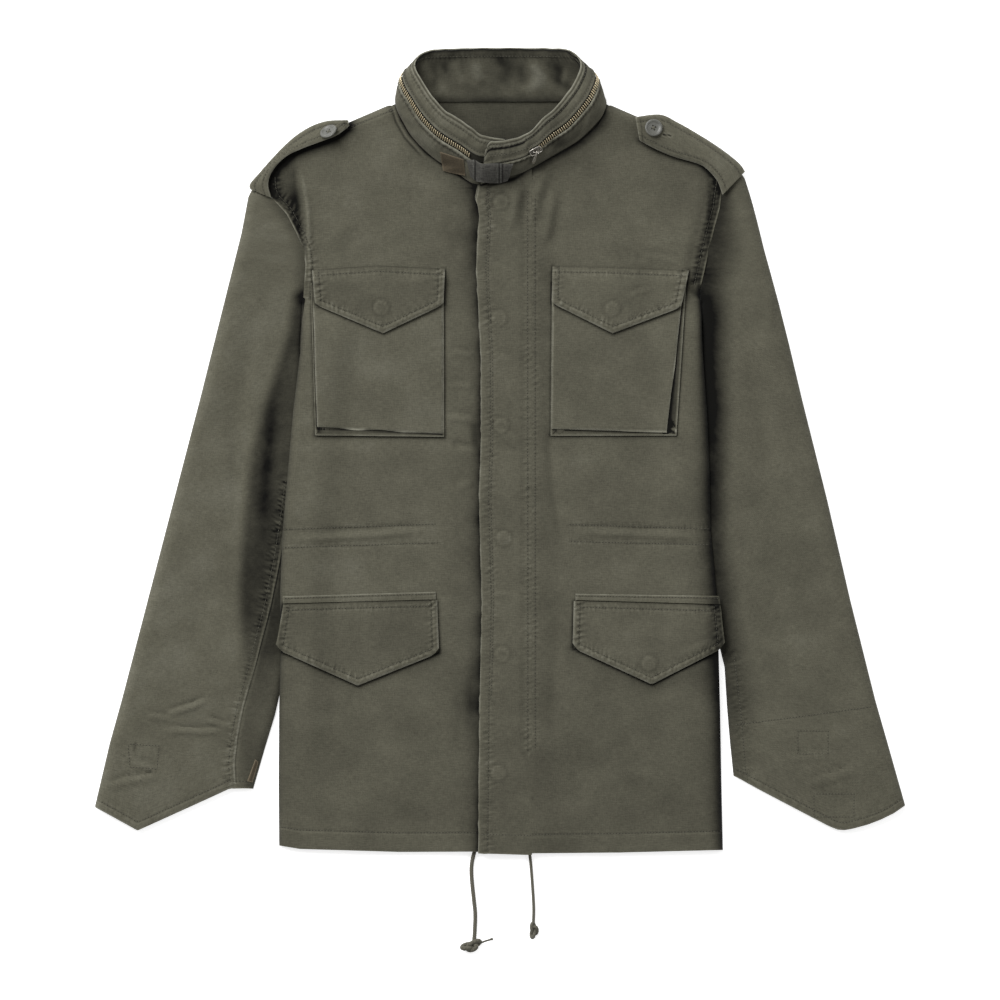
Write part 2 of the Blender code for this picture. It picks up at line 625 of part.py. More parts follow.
def make_collar(finish, tape, collection):
    bands = [
        Band("collar_lower", (0.004, 0.16, 0.32, ZIP_BAND[0] - BAND_GAP), 0.0, COLLAR_OUTER, finish),
        Band("collar_upper", (ZIP_BAND[1] + BAND_GAP, 0.72, 0.86, 1.0), 0.0, COLLAR_OUTER, finish),
        Band("collar_inner", (0.01, 0.33, 0.66, 0.995), -COLLAR_OUTER - LAY_CLEAR, COLLAR_INNER, finish),
        Band("hood_zip", (ZIP_BAND[0], *ZIP_CHAIN, ZIP_BAND[1]), -TAPE_SINK, COLLAR_OUTER, tape),
    ]
    for band in bands:
        def place(column, row):
            station, share = COLLAR_STATIONS[column], band.shares[row]
            on_chain = band.finish is tape and share in ZIP_CHAIN and CHAIN_FROM < station < SLIDER_AT
            return collar_point(station, share, CHAIN_PROUD if on_chain else band.out)

        sheet(band.name, len(COLLAR_STATIONS) - 1, len(band.shares) - 1, place, band.wall,
              band.finish, collection, face_down=True)


def quad_point(face, across, down):
    """A point of a four-cornered piece: across from outer to inner edge, down from its top."""
    top = Vector(face.top_outer).lerp(Vector(face.top_inner), across)
    low = Vector(face.low_outer).lerp(Vector(face.low_inner), across)
    return top.lerp(low, down)


SPAN_DROOP = 1.0      # a piece spanning the front's rolled side edge droops by this
SPAN_BREADTH = 6.0


def laid_level(side, x, y):
    """Where a piece lies that spans the front's rolled side edge instead of rolling with it."""
    outside = side * (x - x_at(SIDE[side], y)) > 0
    away = 0.0 if outside else distance_to(SIDE[side], x, y)
    return front_level(side, x, y) - SPAN_DROOP * (1.0 - smooth(away / SPAN_BREADTH))


def crown(across, down):
    return POCKET_CROWN * math.sin(math.pi * across) * math.sin(math.pi * down)


INNER_PARTS = (0.0, 0.35, 0.7, 1.0)
CHEST_LEVELS = (128.0, 100.0, 70.0, 40.0)
LEAST_CELL = 2.0


def laid_places(side, outer, inner, edge_steps=()):
    """Points from a piece's outer edge to its inner edge, on the columns of the front below it."""
    sign = 1.0 if inner.x > outer.x else -1.0
    places = [outer.x] + [outer.x + sign * step for step in edge_steps]
    for step in LIFT_STEPS:
        column = x_at(SIDE[side], (outer.y + inner.y) / 2.0) - side * step
        places.append(max(column * sign, places[-1] * sign + LEAST_CELL) * sign)
    last = places.pop()
    places += [last + (inner.x - last) * part for part in INNER_PARTS]
    return [outer.lerp(inner, (x - outer.x) / (inner.x - outer.x)) for x in places]


def make_chest_pocket(side, finish, collection):
    name = "chest_{}_" + SIDE_NAME[side]
    face_down = side == LEFT
    whole, face = CHEST_GUSSET[side], CHEST_FACE[side]

    def downs(piece):
        top, low = piece.top_outer[1], piece.low_outer[1]
        levels = (UNDERARM[side].y,) + CHEST_LEVELS
        return [0.0] + [(top - level) / (top - low) for level in levels] + [1.0]

    rows = [laid_places(side, quad_point(face, 0, down), quad_point(face, 1, down))
            for down in reversed(downs(face))]

    def place_face(column, row):
        spot = rows[row][column]
        across = (spot.x - rows[row][0].x) / (rows[row][-1].x - rows[row][0].x)
        out = 2 * LAY_CLEAR + GUSSET_WALL + FACE_WALL + crown(across, row / (len(rows) - 1))
        return spot.x, spot.y, front_level(side, spot.x, spot.y) + out

    sheet(name.format("face"), len(rows[0]) - 1, len(rows) - 1, place_face, FACE_WALL, finish,
          collection, face_down)
    outer_edge = [quad_point(whole, 0, down) for down in downs(whole)]
    low_edge = laid_places(side, quad_point(whole, 0, 1), quad_point(whole, 1, 1), (GUSSET_BREADTH,))
    inner_edge = [quad_point(whole, 1, down) for down in reversed(downs(whole))]
    path = outer_edge + low_edge[1:-1] + inner_edge
    first_corner, last_corner = len(outer_edge) - 1, len(outer_edge) + len(low_edge) - 2

    def place_gusset(column, row):
        spot = path[column].copy()
        inwards = GUSSET_BREADTH * (1 - row)
        if column <= first_corner:
            spot.x -= side * inwards
        if first_corner <= column <= last_corner:
            spot.y += inwards
        if column >= last_corner:
            spot.x += side * inwards
        return spot.x, spot.y, front_level(side, spot.x, spot.y) + LAY_CLEAR + GUSSET_WALL

    sheet(name.format("gusset"), len(path) - 1, 1, place_gusset, GUSSET_WALL, finish, collection,
          not face_down)


def flap_edge(points, tip_share, across):
    shares = (0.0, tip_share, 1.0)
    return Vector([float(np.interp(across, shares, [point[axis] for point in points])) for axis in (0, 1)])


FLAP_DOWNS = [1.0, 0.96, 0.7, 0.3, 0.15, 0.0]
FLAP_EDGE = (4.0, 10.0)   # columns this far in from a lower flap's outer edge, which spans the roll


def make_flap(name, side, flap, swell, finish, collection):
    """A pointed flap, sewn down along its top; swell is how far what is under it carries it up."""
    top_outer, top_inner = Vector(flap.top[0]), Vector(flap.top[-1])
    places = laid_places(side, top_outer, top_inner, FLAP_EDGE)
    run = top_inner.x - top_outer.x
    shares = sorted([(spot.x - top_outer.x) / run for spot in places] + [flap.tip_share])

    def place(column, row):
        across, down = shares[column], FLAP_DOWNS[row]
        top = flap_edge(flap.top, flap.tip_share, across)
        spot = top.lerp(flap_edge(flap.low, flap.tip_share, across), down)
        out = LAY_CLEAR + FLAP_WALL + swell * smooth(down / 0.3) + crown(across, min(down, 0.8))
        return spot.x, spot.y, laid_level(side, spot.x, spot.y) + out

    return sheet(name, len(shares) - 1, len(FLAP_DOWNS) - 1, place, FLAP_WALL, finish, collection,
                 face_down=side == LEFT)


def make_welt(side, finish, collection):
    welt = LOWER_WELT[side]
    rows = [laid_places(side, quad_point(welt, 0, down), quad_point(welt, 1, down), FLAP_EDGE)
            for down in (1, 0)]

    def place(column, row):
        spot = rows[row][column]
        return spot.x, spot.y, laid_level(side, spot.x, spot.y) + LAY_CLEAR + WELT_WALL

    sheet("lower_welt_" + SIDE_NAME[side], len(rows[0]) - 1, 1, place, WELT_WALL, finish, collection,
          face_down=side == LEFT)


def collar_seam_y(x):
    """Height in the plan of the left end of the collar's neck seam."""
    rows = sorted((row.seam[0], row.seam[1]) for row in COLLAR[-5:])
    return float(np.interp(x, [row[0] for row in rows], [row[1] for row in rows]))


STORM_LEVELS = BODY_LEVELS + [177.3, 200.3, 218.4, 230]
STORM_TOP_CELLS = 4
STORM_SHARES = [0, 0.03, 0.12, 0.4, 0.7, 1.0]


def make_storm_flap(finish, collection):
    def place(column, row):
        climb = max(0, row - len(STORM_LEVELS) + 1) / STORM_TOP_CELLS
        level = STORM_LEVELS[min(row, len(STORM_LEVELS) - 1)]
        free = x_at(STORM_FREE, level + STORM_TOP_REACH * climb)
        x = free + (STORM_ROOT - free) * STORM_SHARES[column]
        y = level + hem_shift(x, level, -STORM_LONGER)
        y += (collar_seam_y(x) - 2 * SEAM - y) * climb
        return x, y, front_level(LEFT, x, y) + LAY_CLEAR + FLAP_WALL

    rows = len(STORM_LEVELS) - 1 + STORM_TOP_CELLS
    sheet("storm_flap", len(STORM_SHARES) - 1, rows, place, FLAP_WALL, finish, collection)


def make_epaulette(side, finish, collection):
    table = np.array([(*row.low, row.low_z, *row.far, row.far_z, row.mid_z) for row in EPAULETTE[side]])
    cells = (len(table) - 1) * 2
    stations = np.arange(len(table))

    def place(column, row):
        read = [float(np.interp(column / 2, stations, table[:, field])) for field in range(7)]
        share = row / 4
        low, far, middle = Vector(read[0:3]), Vector(read[3:6]), read[6]
        spot = low.lerp(far, share)
        spot.z += (middle - (low.z + far.z) / 2) * 4 * share * (1 - share)
        return spot

    return sheet("epaulette_" + SIDE_NAME[side], cells, 4, place, FLAP_WALL, finish, collection,
                 face_down=side == RIGHT)


def surface_tree(objects):
    """The finished faces of some pieces, to lay others on."""
    depsgraph = bpy.context.evaluated_depsgraph_get()
    corners, faces = [], []
    for obj in objects:
        mesh = obj.evaluated_get(depsgraph).to_mesh()
        faces += [[index + len(corners) for index in polygon.vertices] for polygon in mesh.polygons]
        corners += [obj.matrix_world @ vert.co / MM for vert in mesh.vertices]
    return BVHTree.FromPolygons(corners, faces)


def landing(tree, x, y):
    """Where something lowered from above at (x, y) meets the pieces, and their normal there."""
    spot, normal, _, _ = tree.ray_cast(Vector((x, y, 200.0)), Vector((0, 0, -1)))
    return spot, normal


def laid_height(tree, x, y, reach):
    """The highest point of the pieces round (x, y)."""
    heights = [0.0]
    for step_x in (-reach, 0, reach):
        for step_y in (-reach, 0, reach):
            spot, _ = landing(tree, x + step_x, y + step_y)
            if spot:
                heights.append(spot.z)
    return max(heights)


def make_laid_strip(name, edges, tree, reach, wall, finish, collection):
    top, low = edges
    rows = 3

    def place(column, row):
        spot = Vector(low[column]).lerp(Vector(top[column]), row / rows)
        return spot.x, spot.y, laid_height(tree, spot.x, spot.y, reach) + LAY_CLEAR + 1.25 * wall

    return sheet(name, len(top) - 1, rows, place, wall, finish, collection)


def make_cuff_pad(finish, collection):
    def place(column, row):
        spot = quad_point(CUFF_PAD, column / 2, 1 - row / 3)
        return spot.x, spot.y, sleeve_height(RIGHT, spot.x, spot.y) + LAY_CLEAR + 1.3 * PAD_WALL

    sheet("cuff_pad_right", 2, 3, place, PAD_WALL, finish, collection)


def lathe(name, profile, steps, finish, collection):
    """A solid turned about Z from a profile of (radius, height) rows, top to bottom."""
    bm = bmesh.new()
    verts = [bm.verts.new((radius * MM, 0.0, height * MM)) for radius, height in profile]
    for first, second in zip(verts, verts[1:]):
        bm.edges.new((first, second))
    obj = add_object(name, bm, finish, collection)
    screw = obj.modifiers.new("turning", "SCREW")
    screw.steps = screw.render_steps = steps
    screw.use_merge_vertices = True
    screw.merge_threshold = 0.00005
    return obj


def make_button(side, tree, finish, collection, cutters):
    half = BUTTON_THICK / 2
    profile = [(0, half - 0.9), (BUTTON_DISH, half - 0.9), (BUTTON_DISH + 0.7, half),
               (BUTTON_RADIUS - 0.8, half), (BUTTON_RADIUS, half - 1.0), (BUTTON_RADIUS - 1.2, -half),
               (0, -half)]
    button = lathe("epaulette_button_" + SIDE_NAME[side], profile, 14, finish, collection)
    spot, normal = landing(tree, *BUTTON_AT[side])
    turn = normal.to_track_quat("Z", "Y").to_matrix().to_4x4()
    seat = Matrix.Translation((spot + normal * (half + 2 * SEAM)) * MM) @ turn
    button.matrix_world = seat
    bm = bmesh.new()
    for quarter in range(4):
        angle = math.radians(45 + 90 * quarter)
        middle = Vector((math.cos(angle), math.sin(angle), 0)) * BUTTON_HOLE_RING * MM
        bmesh.ops.create_cone(bm, cap_ends=True, segments=6, radius1=BUTTON_HOLE * MM,
                              radius2=BUTTON_HOLE * MM, depth=2 * BUTTON_THICK * MM,
                              matrix=Matrix.Translation(middle))
    holes = add_object("button_holes_" + SIDE_NAME[side], bm, finish, cutters)
    holes.matrix_world = seat
    holes.hide_render = True
    holes.display_type = "WIRE"
    cut = button.modifiers.new("thread holes", "BOOLEAN")
    cut.operation = "DIFFERENCE"
    cut.object = holes


def box_into(bm, size, frame):
    made = bmesh.ops.create_cube(bm, size=1.0)["verts"]
    bmesh.ops.scale(bm, vec=Vector(size) * MM, verts=made)
    bmesh.ops.transform(bm, matrix=frame, verts=made)


def joined(name, shapes, finish, collection):
    """One solid from overlapping shapes, each made by a call that fills a bmesh."""
    parts = []
    for index, shape in enumerate(shapes):
        bm = bmesh.new()
        shape(bm)
        parts.append(add_object(f"{name}_shape_{index}", bm, finish, collection))
    first = parts[0]
    for other in parts[1:]:
        union = first.modifiers.new("join", "BOOLEAN")
        union.operation = "UNION"
        union.object = other
    depsgraph = bpy.context.evaluated_depsgraph_get()
    mesh = bpy.data.meshes.new_from_object(first.evaluated_get(depsgraph))
    for part in parts:
        bpy.data.objects.remove(part, do_unlink=True)
    obj = bpy.data.objects.new(name, mesh)
    collection.objects.link(obj)
    return obj


def zip_frame():
    """A frame on the zip at the slider: X along the zip, Y down the collar, Z out of it."""
    share = (ZIP_CHAIN[0] + ZIP_CHAIN[1]) / 2
    origin = collar_point(SLIDER_AT, share, CHAIN_PROUD)
    out = collar_normal(SLIDER_AT, share)
    down = (collar_skin(SLIDER_AT, share - 0.1) - collar_skin(SLIDER_AT, share)).normalized()
    along = down.cross(out).normalized()
    down = out.cross(along)
    frame = Matrix((along, down, out)).transposed().to_4x4()
    return Matrix.Translation(origin * MM) @ frame


def pin_frame():
    """The hinge of the pull tab: X along its pin, Y the way the tab points when level."""
    swung = zip_frame() @ Matrix.Rotation(PULL_SWING, 4, "Z")
    return swung @ Matrix.Translation((0, 0, PIN_HEIGHT * MM))


def pull_turn():
    """The turn about the pin that lays the pull tab's end close to the collar."""
    tip = pin_frame().inverted() @ (collar_point(*PULL_END, PULL_END_CLEAR) * MM)
    return math.atan2(tip.z, tip.y)


def make_slider(finish, collection):
    thick = SLIDER_SIZE[2]
    post_x = PIN_LENGTH / 2 + POST / 2 - 0.2
    low, high = thick / 2 + SEAM - PIN_HEIGHT, POST / 2

    def body(bm):
        middle = Matrix.Translation((0, 0, (thick / 2 + SEAM) * MM))
        box_into(bm, SLIDER_SIZE, zip_frame() @ middle)

    def post(sign):
        def fill(bm):
            centre = Vector((sign * post_x, 0, (low + high) / 2)) * MM
            box_into(bm, (POST, 2 * POST, high - low), pin_frame() @ Matrix.Translation(centre))
        return fill

    def pin(bm):
        place = pin_frame() @ Matrix.Rotation(math.pi / 2, 4, "Y")
        bmesh.ops.create_cone(bm, cap_ends=True, segments=10, radius1=PIN_RADIUS * MM,
                              radius2=PIN_RADIUS * MM, depth=(PIN_LENGTH + POST) * MM, matrix=place)

    return joined("hood_zip_slider", [body, post(-1), post(1), pin], finish, collection)


def make_pull(finish, collection):
    tilt = pin_frame() @ Matrix.Rotation(pull_turn(), 4, "X")
    across = Matrix.Rotation(math.pi / 2, 4, "Y")

    def eye(bm):
        bmesh.ops.create_cone(bm, cap_ends=True, segments=12, radius1=EYE_RADIUS * MM,
                              radius2=EYE_RADIUS * MM, depth=EYE_WIDTH * MM, matrix=tilt @ across)

    def plate(bm):
        reach = PULL_LENGTH - EYE_HOLE - 0.4
        centre = Vector((0, EYE_HOLE + 0.4 + reach / 2, 0)) * MM
        box_into(bm, (PULL_WIDTH, reach, PULL_THICK), tilt @ Matrix.Translation(centre))

    pull = joined("hood_zip_pull", [eye, plate], finish, collection)
    bm = bmesh.new()
    bmesh.ops.create_cone(bm, cap_ends=True, segments=12, radius1=EYE_HOLE * MM,
                          radius2=EYE_HOLE * MM, depth=4 * EYE_WIDTH * MM, matrix=tilt @ across)
    hole = add_object("pull_eye_hole", bm, finish, collection)
    cut = pull.modifiers.new("eye", "BOOLEAN")
    cut.operation = "DIFFERENCE"
    cut.object = hole
    hole.hide_render = True
    hole.display_type = "WIRE"
    return pull


def smooth_route(points, spacing):
    """Points a spacing apart on a smooth curve through the route's own points."""
    route = [Vector(point) for point in points]
    padded = [2 * route[0] - route[1]] + route + [2 * route[-1] - route[-2]]
    fine = []
    for before, here, there, after in zip(padded, padded[1:], padded[2:], padded[3:]):
        for step in range(12):
            part = step / 12
            fine.append(0.5 * (2 * here + (there - before) * part
                               + (2 * before - 5 * here + 4 * there - after) * part ** 2
                               + (3 * here - before - 3 * there + after) * part ** 3))
    fine.append(route[-1])
    lengths = np.cumsum([0.0] + [(b - a).length for a, b in zip(fine, fine[1:])])
    count = max(2, round(lengths[-1] / spacing))
    marks = np.linspace(0.0, lengths[-1], count + 1)
    axes = [np.interp(marks, lengths, [point[axis] for point in fine]) for axis in range(3)]
    return [Vector(point) for point in zip(*axes)]


def make_cord(name, route, radius, finish, collection):
    curve = bpy.data.curves.new(name, "CURVE")
    curve.dimensions = "3D"
    curve.bevel_depth = radius * MM
    curve.bevel_resolution = 2
    curve.render_resolution_u = 0
    curve.use_fill_caps = True
    points = smooth_route(route, 2.5 * 2 * radius)
    spline = curve.splines.new("POLY")
    spline.points.add(len(points) - 1)
    for target, point in zip(spline.points, points):
        target.co = (*(point * MM), 1.0)
    curve.materials.append(finish)
    obj = bpy.data.objects.new(name, curve)
    collection.objects.link(obj)
    return obj


def make_knot(name, knot, finish, collection):
    bm = bmesh.new()
    bmesh.ops.create_uvsphere(bm, u_segments=12, v_segments=8, radius=1.0)
    for vert in bm.verts:
        waist = 1.0 - 0.14 * math.cos(3 * math.pi * vert.co.x)
        vert.co = Vector((vert.co.x * knot.half_length, vert.co.y * knot.half_width * waist,
                          vert.co.z * knot.half_height * waist)) * MM
    lowest = min(vert.co.z for vert in bm.verts)
    centre = Vector((*knot.centre, FLOOR_CLEAR)) * MM - Vector((0, 0, lowest))
    turn = Matrix.Rotation(knot.turn, 4, "Z")
    bmesh.ops.transform(bm, matrix=Matrix.Translation(centre) @ turn, verts=bm.verts)
    return add_object(name, bm, finish, collection)


def main():
    clear_scene()
    jacket = bpy.data.collections.new("field_jacket")
    cutters = bpy.data.collections.new("field_jacket_cutters")
    for collection in (jacket, cutters):
        bpy.context.scene.collection.children.link(collection)
    sateen = material("olive_sateen", (0.105, 0.102, 0.075), 0.85)
    tape = material("zip_tape", (0.07, 0.068, 0.05), 0.8)
    webbing = material("charcoal_webbing", (0.03, 0.029, 0.026), 0.9)
    hook = material("brown_hook_tape", (0.08, 0.06, 0.035), 0.9)
    horn = material("grey_green_button", (0.12, 0.125, 0.105), 0.45)
    steel = material("antique_steel", (0.32, 0.3, 0.26), 0.4, 1.0)
    braid = material("olive_braid", (0.11, 0.105, 0.085), 0.9)

    make_back(sateen, jacket)
    fronts = {side: make_front(side, sateen, jacket) for side in (RIGHT, LEFT)}
    make_storm_flap(sateen, jacket)
    make_collar(sateen, tape, jacket)
    for side in (RIGHT, LEFT):
        make_sleeve(side, sateen, jacket)
        make_chest_pocket(side, sateen, jacket)
        swell = GUSSET_WALL + FACE_WALL + 2 * LAY_CLEAR + POCKET_CROWN
        make_flap("chest_flap_" + SIDE_NAME[side], side, CHEST_FLAP[side], swell, sateen, jacket)
        make_welt(side, sateen, jacket)
        make_flap("lower_flap_" + SIDE_NAME[side], side, LOWER_FLAP[side], 0.0, sateen, jacket)
        epaulette = make_epaulette(side, sateen, jacket)
        bpy.context.view_layer.update()
        make_button(side, surface_tree([epaulette]), horn, jacket, cutters)
    bpy.context.view_layer.update()
    bands = [bpy.data.objects[name] for name in ("collar_lower", "collar_upper", "hood_zip")]
    under_tab = surface_tree(bands + [fronts[RIGHT], bpy.data.objects["storm_flap"]])
    make_laid_strip("throat_pad", THROAT_PAD, under_tab, PAD_REACH, PAD_WALL, hook, jacket)
    make_laid_strip("throat_strap", THROAT_STRAP, under_tab, STRAP_REACH, STRAP_WALL, webbing, jacket)
    make_cuff_pad(hook, jacket)
    make_slider(steel, jacket)
    make_pull(steel, jacket)
    for side in (RIGHT, LEFT):
        radius = CORD_RADIUS[side]
        route = [(x, y, radius + FLOOR_CLEAR + height) for x, y, height in CORD_ROUTE[side]]
        make_cord("drawcord_" + SIDE_NAME[side], route, radius, braid, jacket)
        make_knot("drawcord_knot_" + SIDE_NAME[side], KNOT[side], braid, jacket)
    make_cord("drawcord_tail_right", TAIL_ROUTE, TAIL_RADIUS, braid, jacket)


if __name__ == "__main__":
    main()
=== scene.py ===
"""A field jacket laid flat on its back, in cotton sateen, with its zip, buttons, tab and drawcords.

Tables are in millimetres in the garment's own frame: +X towards the wearer's left side, +Y towards the
collar, +Z up from the surface. "right" and "left" are the wearer's, so right is at -X.
"""

import math
from collections import namedtuple

import bpy
import numpy as np
from mathutils import Matrix, Vector
from mathutils.bvhtree import BVHTree


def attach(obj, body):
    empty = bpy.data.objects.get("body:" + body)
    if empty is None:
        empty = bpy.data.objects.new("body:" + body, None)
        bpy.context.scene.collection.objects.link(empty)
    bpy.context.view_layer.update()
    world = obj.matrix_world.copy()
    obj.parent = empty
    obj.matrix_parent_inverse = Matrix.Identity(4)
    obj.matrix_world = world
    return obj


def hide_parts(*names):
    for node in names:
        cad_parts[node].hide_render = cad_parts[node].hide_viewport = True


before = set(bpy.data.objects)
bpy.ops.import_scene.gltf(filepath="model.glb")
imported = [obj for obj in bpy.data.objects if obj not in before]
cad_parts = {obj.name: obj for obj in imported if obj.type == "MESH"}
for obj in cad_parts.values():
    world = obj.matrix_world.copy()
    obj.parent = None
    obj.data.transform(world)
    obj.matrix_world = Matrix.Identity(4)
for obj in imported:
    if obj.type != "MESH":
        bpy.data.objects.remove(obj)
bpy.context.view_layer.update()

bl_info = {
    "name": "Field jacket",
    "version": (1, 0, 0),
    "blender": (4, 5, 0),
    "location": "3D View > Sidebar > Jacket",
    "description": "Builds a field jacket laid flat, piece by piece",
    "category": "Add Mesh",
}

MM = 0.001
RIGHT, LEFT = -1, 1
SIDES = (RIGHT, LEFT)
SIDE_NAME = {RIGHT: "right", LEFT: "left"}

# How the panels lie, as in the solids
FRONT_TOP, SLEEVE_MARGIN_TOP, SLEEVE_MARGIN = 7.4, 6.4, 28.0
BODY_LIFT, LIFT_FULL, LIFT_NONE, UNDERARM_RAMP = 6.8, 26.0, 60.0, 45.0
LIFT_LOW_FULL, LIFT_LOW_NONE = -258.0, -330.0
ROLL, EDGE_RISE, UNDER_INSET = 9.0, 0.6, 1.9
SEAM_DIP, SEAM_VALLEY = 1.7, 13.0
NECK_RISE, NECK_REACH = {RIGHT: 1.2, LEFT: 3.5}, 42.0
HEM_FOLD, HEM_DEPTH, BOTTOM, HEM_BLEND = 0.7, 19.0, -404.0, 60.0
CENTRE_SPLIT, STORM_ROOT, STORM_LONGER, STORM_TOP_REACH = 12.0, 32.0, 1.6, 34.0
SEAM, LAY_CLEAR, FLAP_WALL, FACE_WALL, GUSSET_WALL, WELT_WALL = 0.3, 0.6, 2.0, 1.5, 1.3, 1.3
GUSSET_BREADTH, POCKET_CROWN, BACK_SEAM, BACK_HEM_SHORT = 14.0, 0.8, -0.7, 4.4
NECK_TOP = 345.5

# Plan outlines, each a row of (y, x), from the hem upwards
SIDE = {
    RIGHT: [(-404, -221), (-330, -221.5), (-258, -221), (-200, -219.3), (-140, -220), (-80, -217.5),
            (-20, -212.3), (40, -207), (100, -199.7), (151, -197)],
    LEFT: [(-404, 223), (-330, 221.5), (-258, 220.3), (-200, 218.8), (-140, 216.3), (-80, 210.8),
           (-20, 209.8), (40, 207.2), (100, 202.8), (163.5, 200.8)],
}
ARMHOLE = {
    RIGHT: [(151, -197), (187, -194.6), (202, -197), (218.4, -204), (237.5, -214), (253.2, -228.6),
            (264, -231.5), (275, -232)],
    LEFT: [(163.5, 200.8), (177.3, 204), (200.3, 209), (223.2, 214.6), (243, 220), (255.4, 221.5),
           (271, 224), (290, 228)],
}
SHOULDER = {
    RIGHT: [(275, -232), (288, -225), (299, -214), (317, -178), (331.4, -145), (349, -104)],
    LEFT: [(290, 228), (298, 216), (310, 191), (325, 160), (335, 136), (348, 106)],
}
NECK = {
    RIGHT: [(261, 12), (264, -18), (275, -38.6), (288, -58.8), (299, -74), (317, -90.2),
            (331.4, -98.4), (349, -104)],
    LEFT: [(271, 12), (290, 44), (298, 58.5), (310, 79), (325, 95.8), (335, 102), (348, 105.5)],
}
HEM = [(-394.6, -221), (-398, -200), (-401, -100), (-400.7, -29), (-402.4, 29), (-401.6, 120), (-399, 223)]

# Sleeves, from the sleeve head to the cuff: outer edge (x, y), inner edge (x, y)
SLEEVE = {
    RIGHT: [(-234.6, 273.4, -231.8, 271), (-246, 262.5, -231.5, 264), (-250.5, 254, -228.6, 253.2),
            (-253.5, 238, -214, 237.5), (-257.5, 217, -204, 218.4), (-261.5, 201, -197, 202),
            (-265.5, 185, -194.6, 187), (-274, 151, -197.8, 148), (-286.5, 101, -200.2, 104),
            (-299, 51, -196, 51), (-312, 1, -196.6, -10), (-325, -49, -198.2, -69),
            (-338, -99, -202, -119), (-351, -149, -206.6, -172), (-364, -199, -215, -216),
            (-377, -249, -226, -264), (-389, -292, -236, -297), (-404, -356, -247.7, -337.5)],
    LEFT: [(231, 289, 227.6, 288), (243.5, 272.5, 224, 271), (248.8, 256, 221.5, 255.4),
           (252.5, 243, 220, 243), (257.5, 223.5, 214.6, 223.2), (263, 201, 209, 200.3),
           (269.5, 177.5, 204, 177.3), (278, 146, 202.2, 148), (288, 106, 202, 118), (301, 51, 200, 55),
           (313.5, 1, 201.2, -9), (326, -49, 204, -65), (337.5, -99, 209, -122), (349, -149, 216, -177),
           (361.5, -199, 225.5, -216), (374, -249, 228, -256), (388, -298, 231, -292),
           (404, -354.6, 234.4, -325)],
}
# How far the cuff's edge hangs below the line between its two ends: (share across, drop)
CUFF = {RIGHT: [(0, 0), (0.266, 28), (0.857, -3), (1, 0)],
        LEFT: [(0, 0), (0.06, 9), (0.14, 18), (0.22, 25.5), (0.3, 31.5), (0.35, 34.6), (0.39, 35.2),
               (0.44, 33.4), (1, 0)]}

# Collar sections from the right front end (below) to the left front end (on top): the seam, the top
# edge above it, and the outward bulge
COLLAR = [
    (12, 275, 8.0, 5, 311.8, 27.6, 4), (-22, 266.4, 8.8, -17, 316.3, 30.5, 4.5),
    (-45, 279.4, 9.3, -34.5, 328.5, 32.0, 5), (-67, 293.4, 9.9, -54, 341, 33.0, 5),
    (-87, 313, 10.8, -66, 354, 32.0, 5.5), (-98.4, 331.4, 11.4, -76, 369, 29.5, 6),
    (-103.6, 342.5, 10.0, -82.5, 379.5, 26.5, 6), (-105, 350, 6.8, -84.5, 388, 22.0, 6),
    (-102, 353.5, 3.2, -80, 396, 18.0, 5), (-93, 351.5, 1.4, -70, 401.5, 15.0, 4),
    (-62, 349, 0.9, -50, 403.2, 13.0, 4), (0, 348.8, 0.9, 0, 404, 12.0, 4),
    (62, 349, 0.9, 54, 403.2, 13.0, 4), (94, 351, 1.4, 70, 401.5, 15.0, 4),
    (103.5, 352.6, 3.2, 78, 394, 18.0, 5), (106.5, 349, 7.6, 80, 386, 22.0, 6),
    (105.5, 342, 11.4, 77.5, 377, 27.0, 6), (99, 330.4, 13.0, 70.5, 364, 30.5, 6),
    (79, 311, 13.0, 56, 345, 34.0, 5.5), (59, 299, 13.2, 42.5, 333, 36.0, 5),
    (41, 289, 13.6, 28, 318.5, 37.0, 5), (20, 277.4, 14.2, 8, 312, 37.5, 5),
    (-19, 267, 14.8, -14, 310, 37.8, 4.5),
]
ZIP_BAND, ZIP_CHAIN, CHAIN_FROM, CHAIN_TO = (0.475, 0.585), 0.53, 1.5, 20.05
COLLAR_OUTER, TAPE_SINK, CHAIN_PROUD = 1.5, 0.4, 0.9

Face = namedtuple("Face", "top_outer top_inner low_inner low_outer")
CHEST_FACE = {
    RIGHT: Face((-187.5, 166), (-57.2, 166), (-57.4, 16.8), (-183, 23.5)),
    LEFT: Face((184, 166), (53, 166), (51.5, 21.6), (167, 19)),
}
CHEST_GUSSET = {
    RIGHT: Face((-189.2, 168), (-56.4, 168), (-56.2, 14.4), (-184.5, 15.8)),
    LEFT: Face((186.4, 168), (52, 168), (50.6, 15.2), (176.4, 15.4)),
}
Flap = namedtuple("Flap", "top low tip_share")
CHEST_FLAP = {
    RIGHT: Flap(((-188, 181), (-122, 185.7), (-55, 182.2)), ((-185.2, 146.5), (-117, 117.7), (-56.5, 146.5)),
                0.53),
    LEFT: Flap(((189, 180.8), (116, 184), (52.6, 185)), ((181.4, 143.7), (112.6, 117.7), (51.6, 148)), 0.53),
}
LOWER_FLAP = {
    RIGHT: Flap(((-216.8, -153.4), (-140, -151), (-62.7, -149.3)),
                ((-224.2, -198), (-142.4, -234.7), (-61, -202)), 0.5),
    LEFT: Flap(((220.6, -154.2), (147, -152), (73.8, -150)), ((225, -196), (151.7, -233.4), (72.6, -197)),
               0.48),
}
LOWER_WELT = {
    RIGHT: Face((-217.4, -145.4), (-64.3, -140.7), (-64.3, -148.4), (-216.8, -152.4)),
    LEFT: Face((219, -145), (75.5, -142.7), (75.5, -149), (220.4, -153.2)),
}
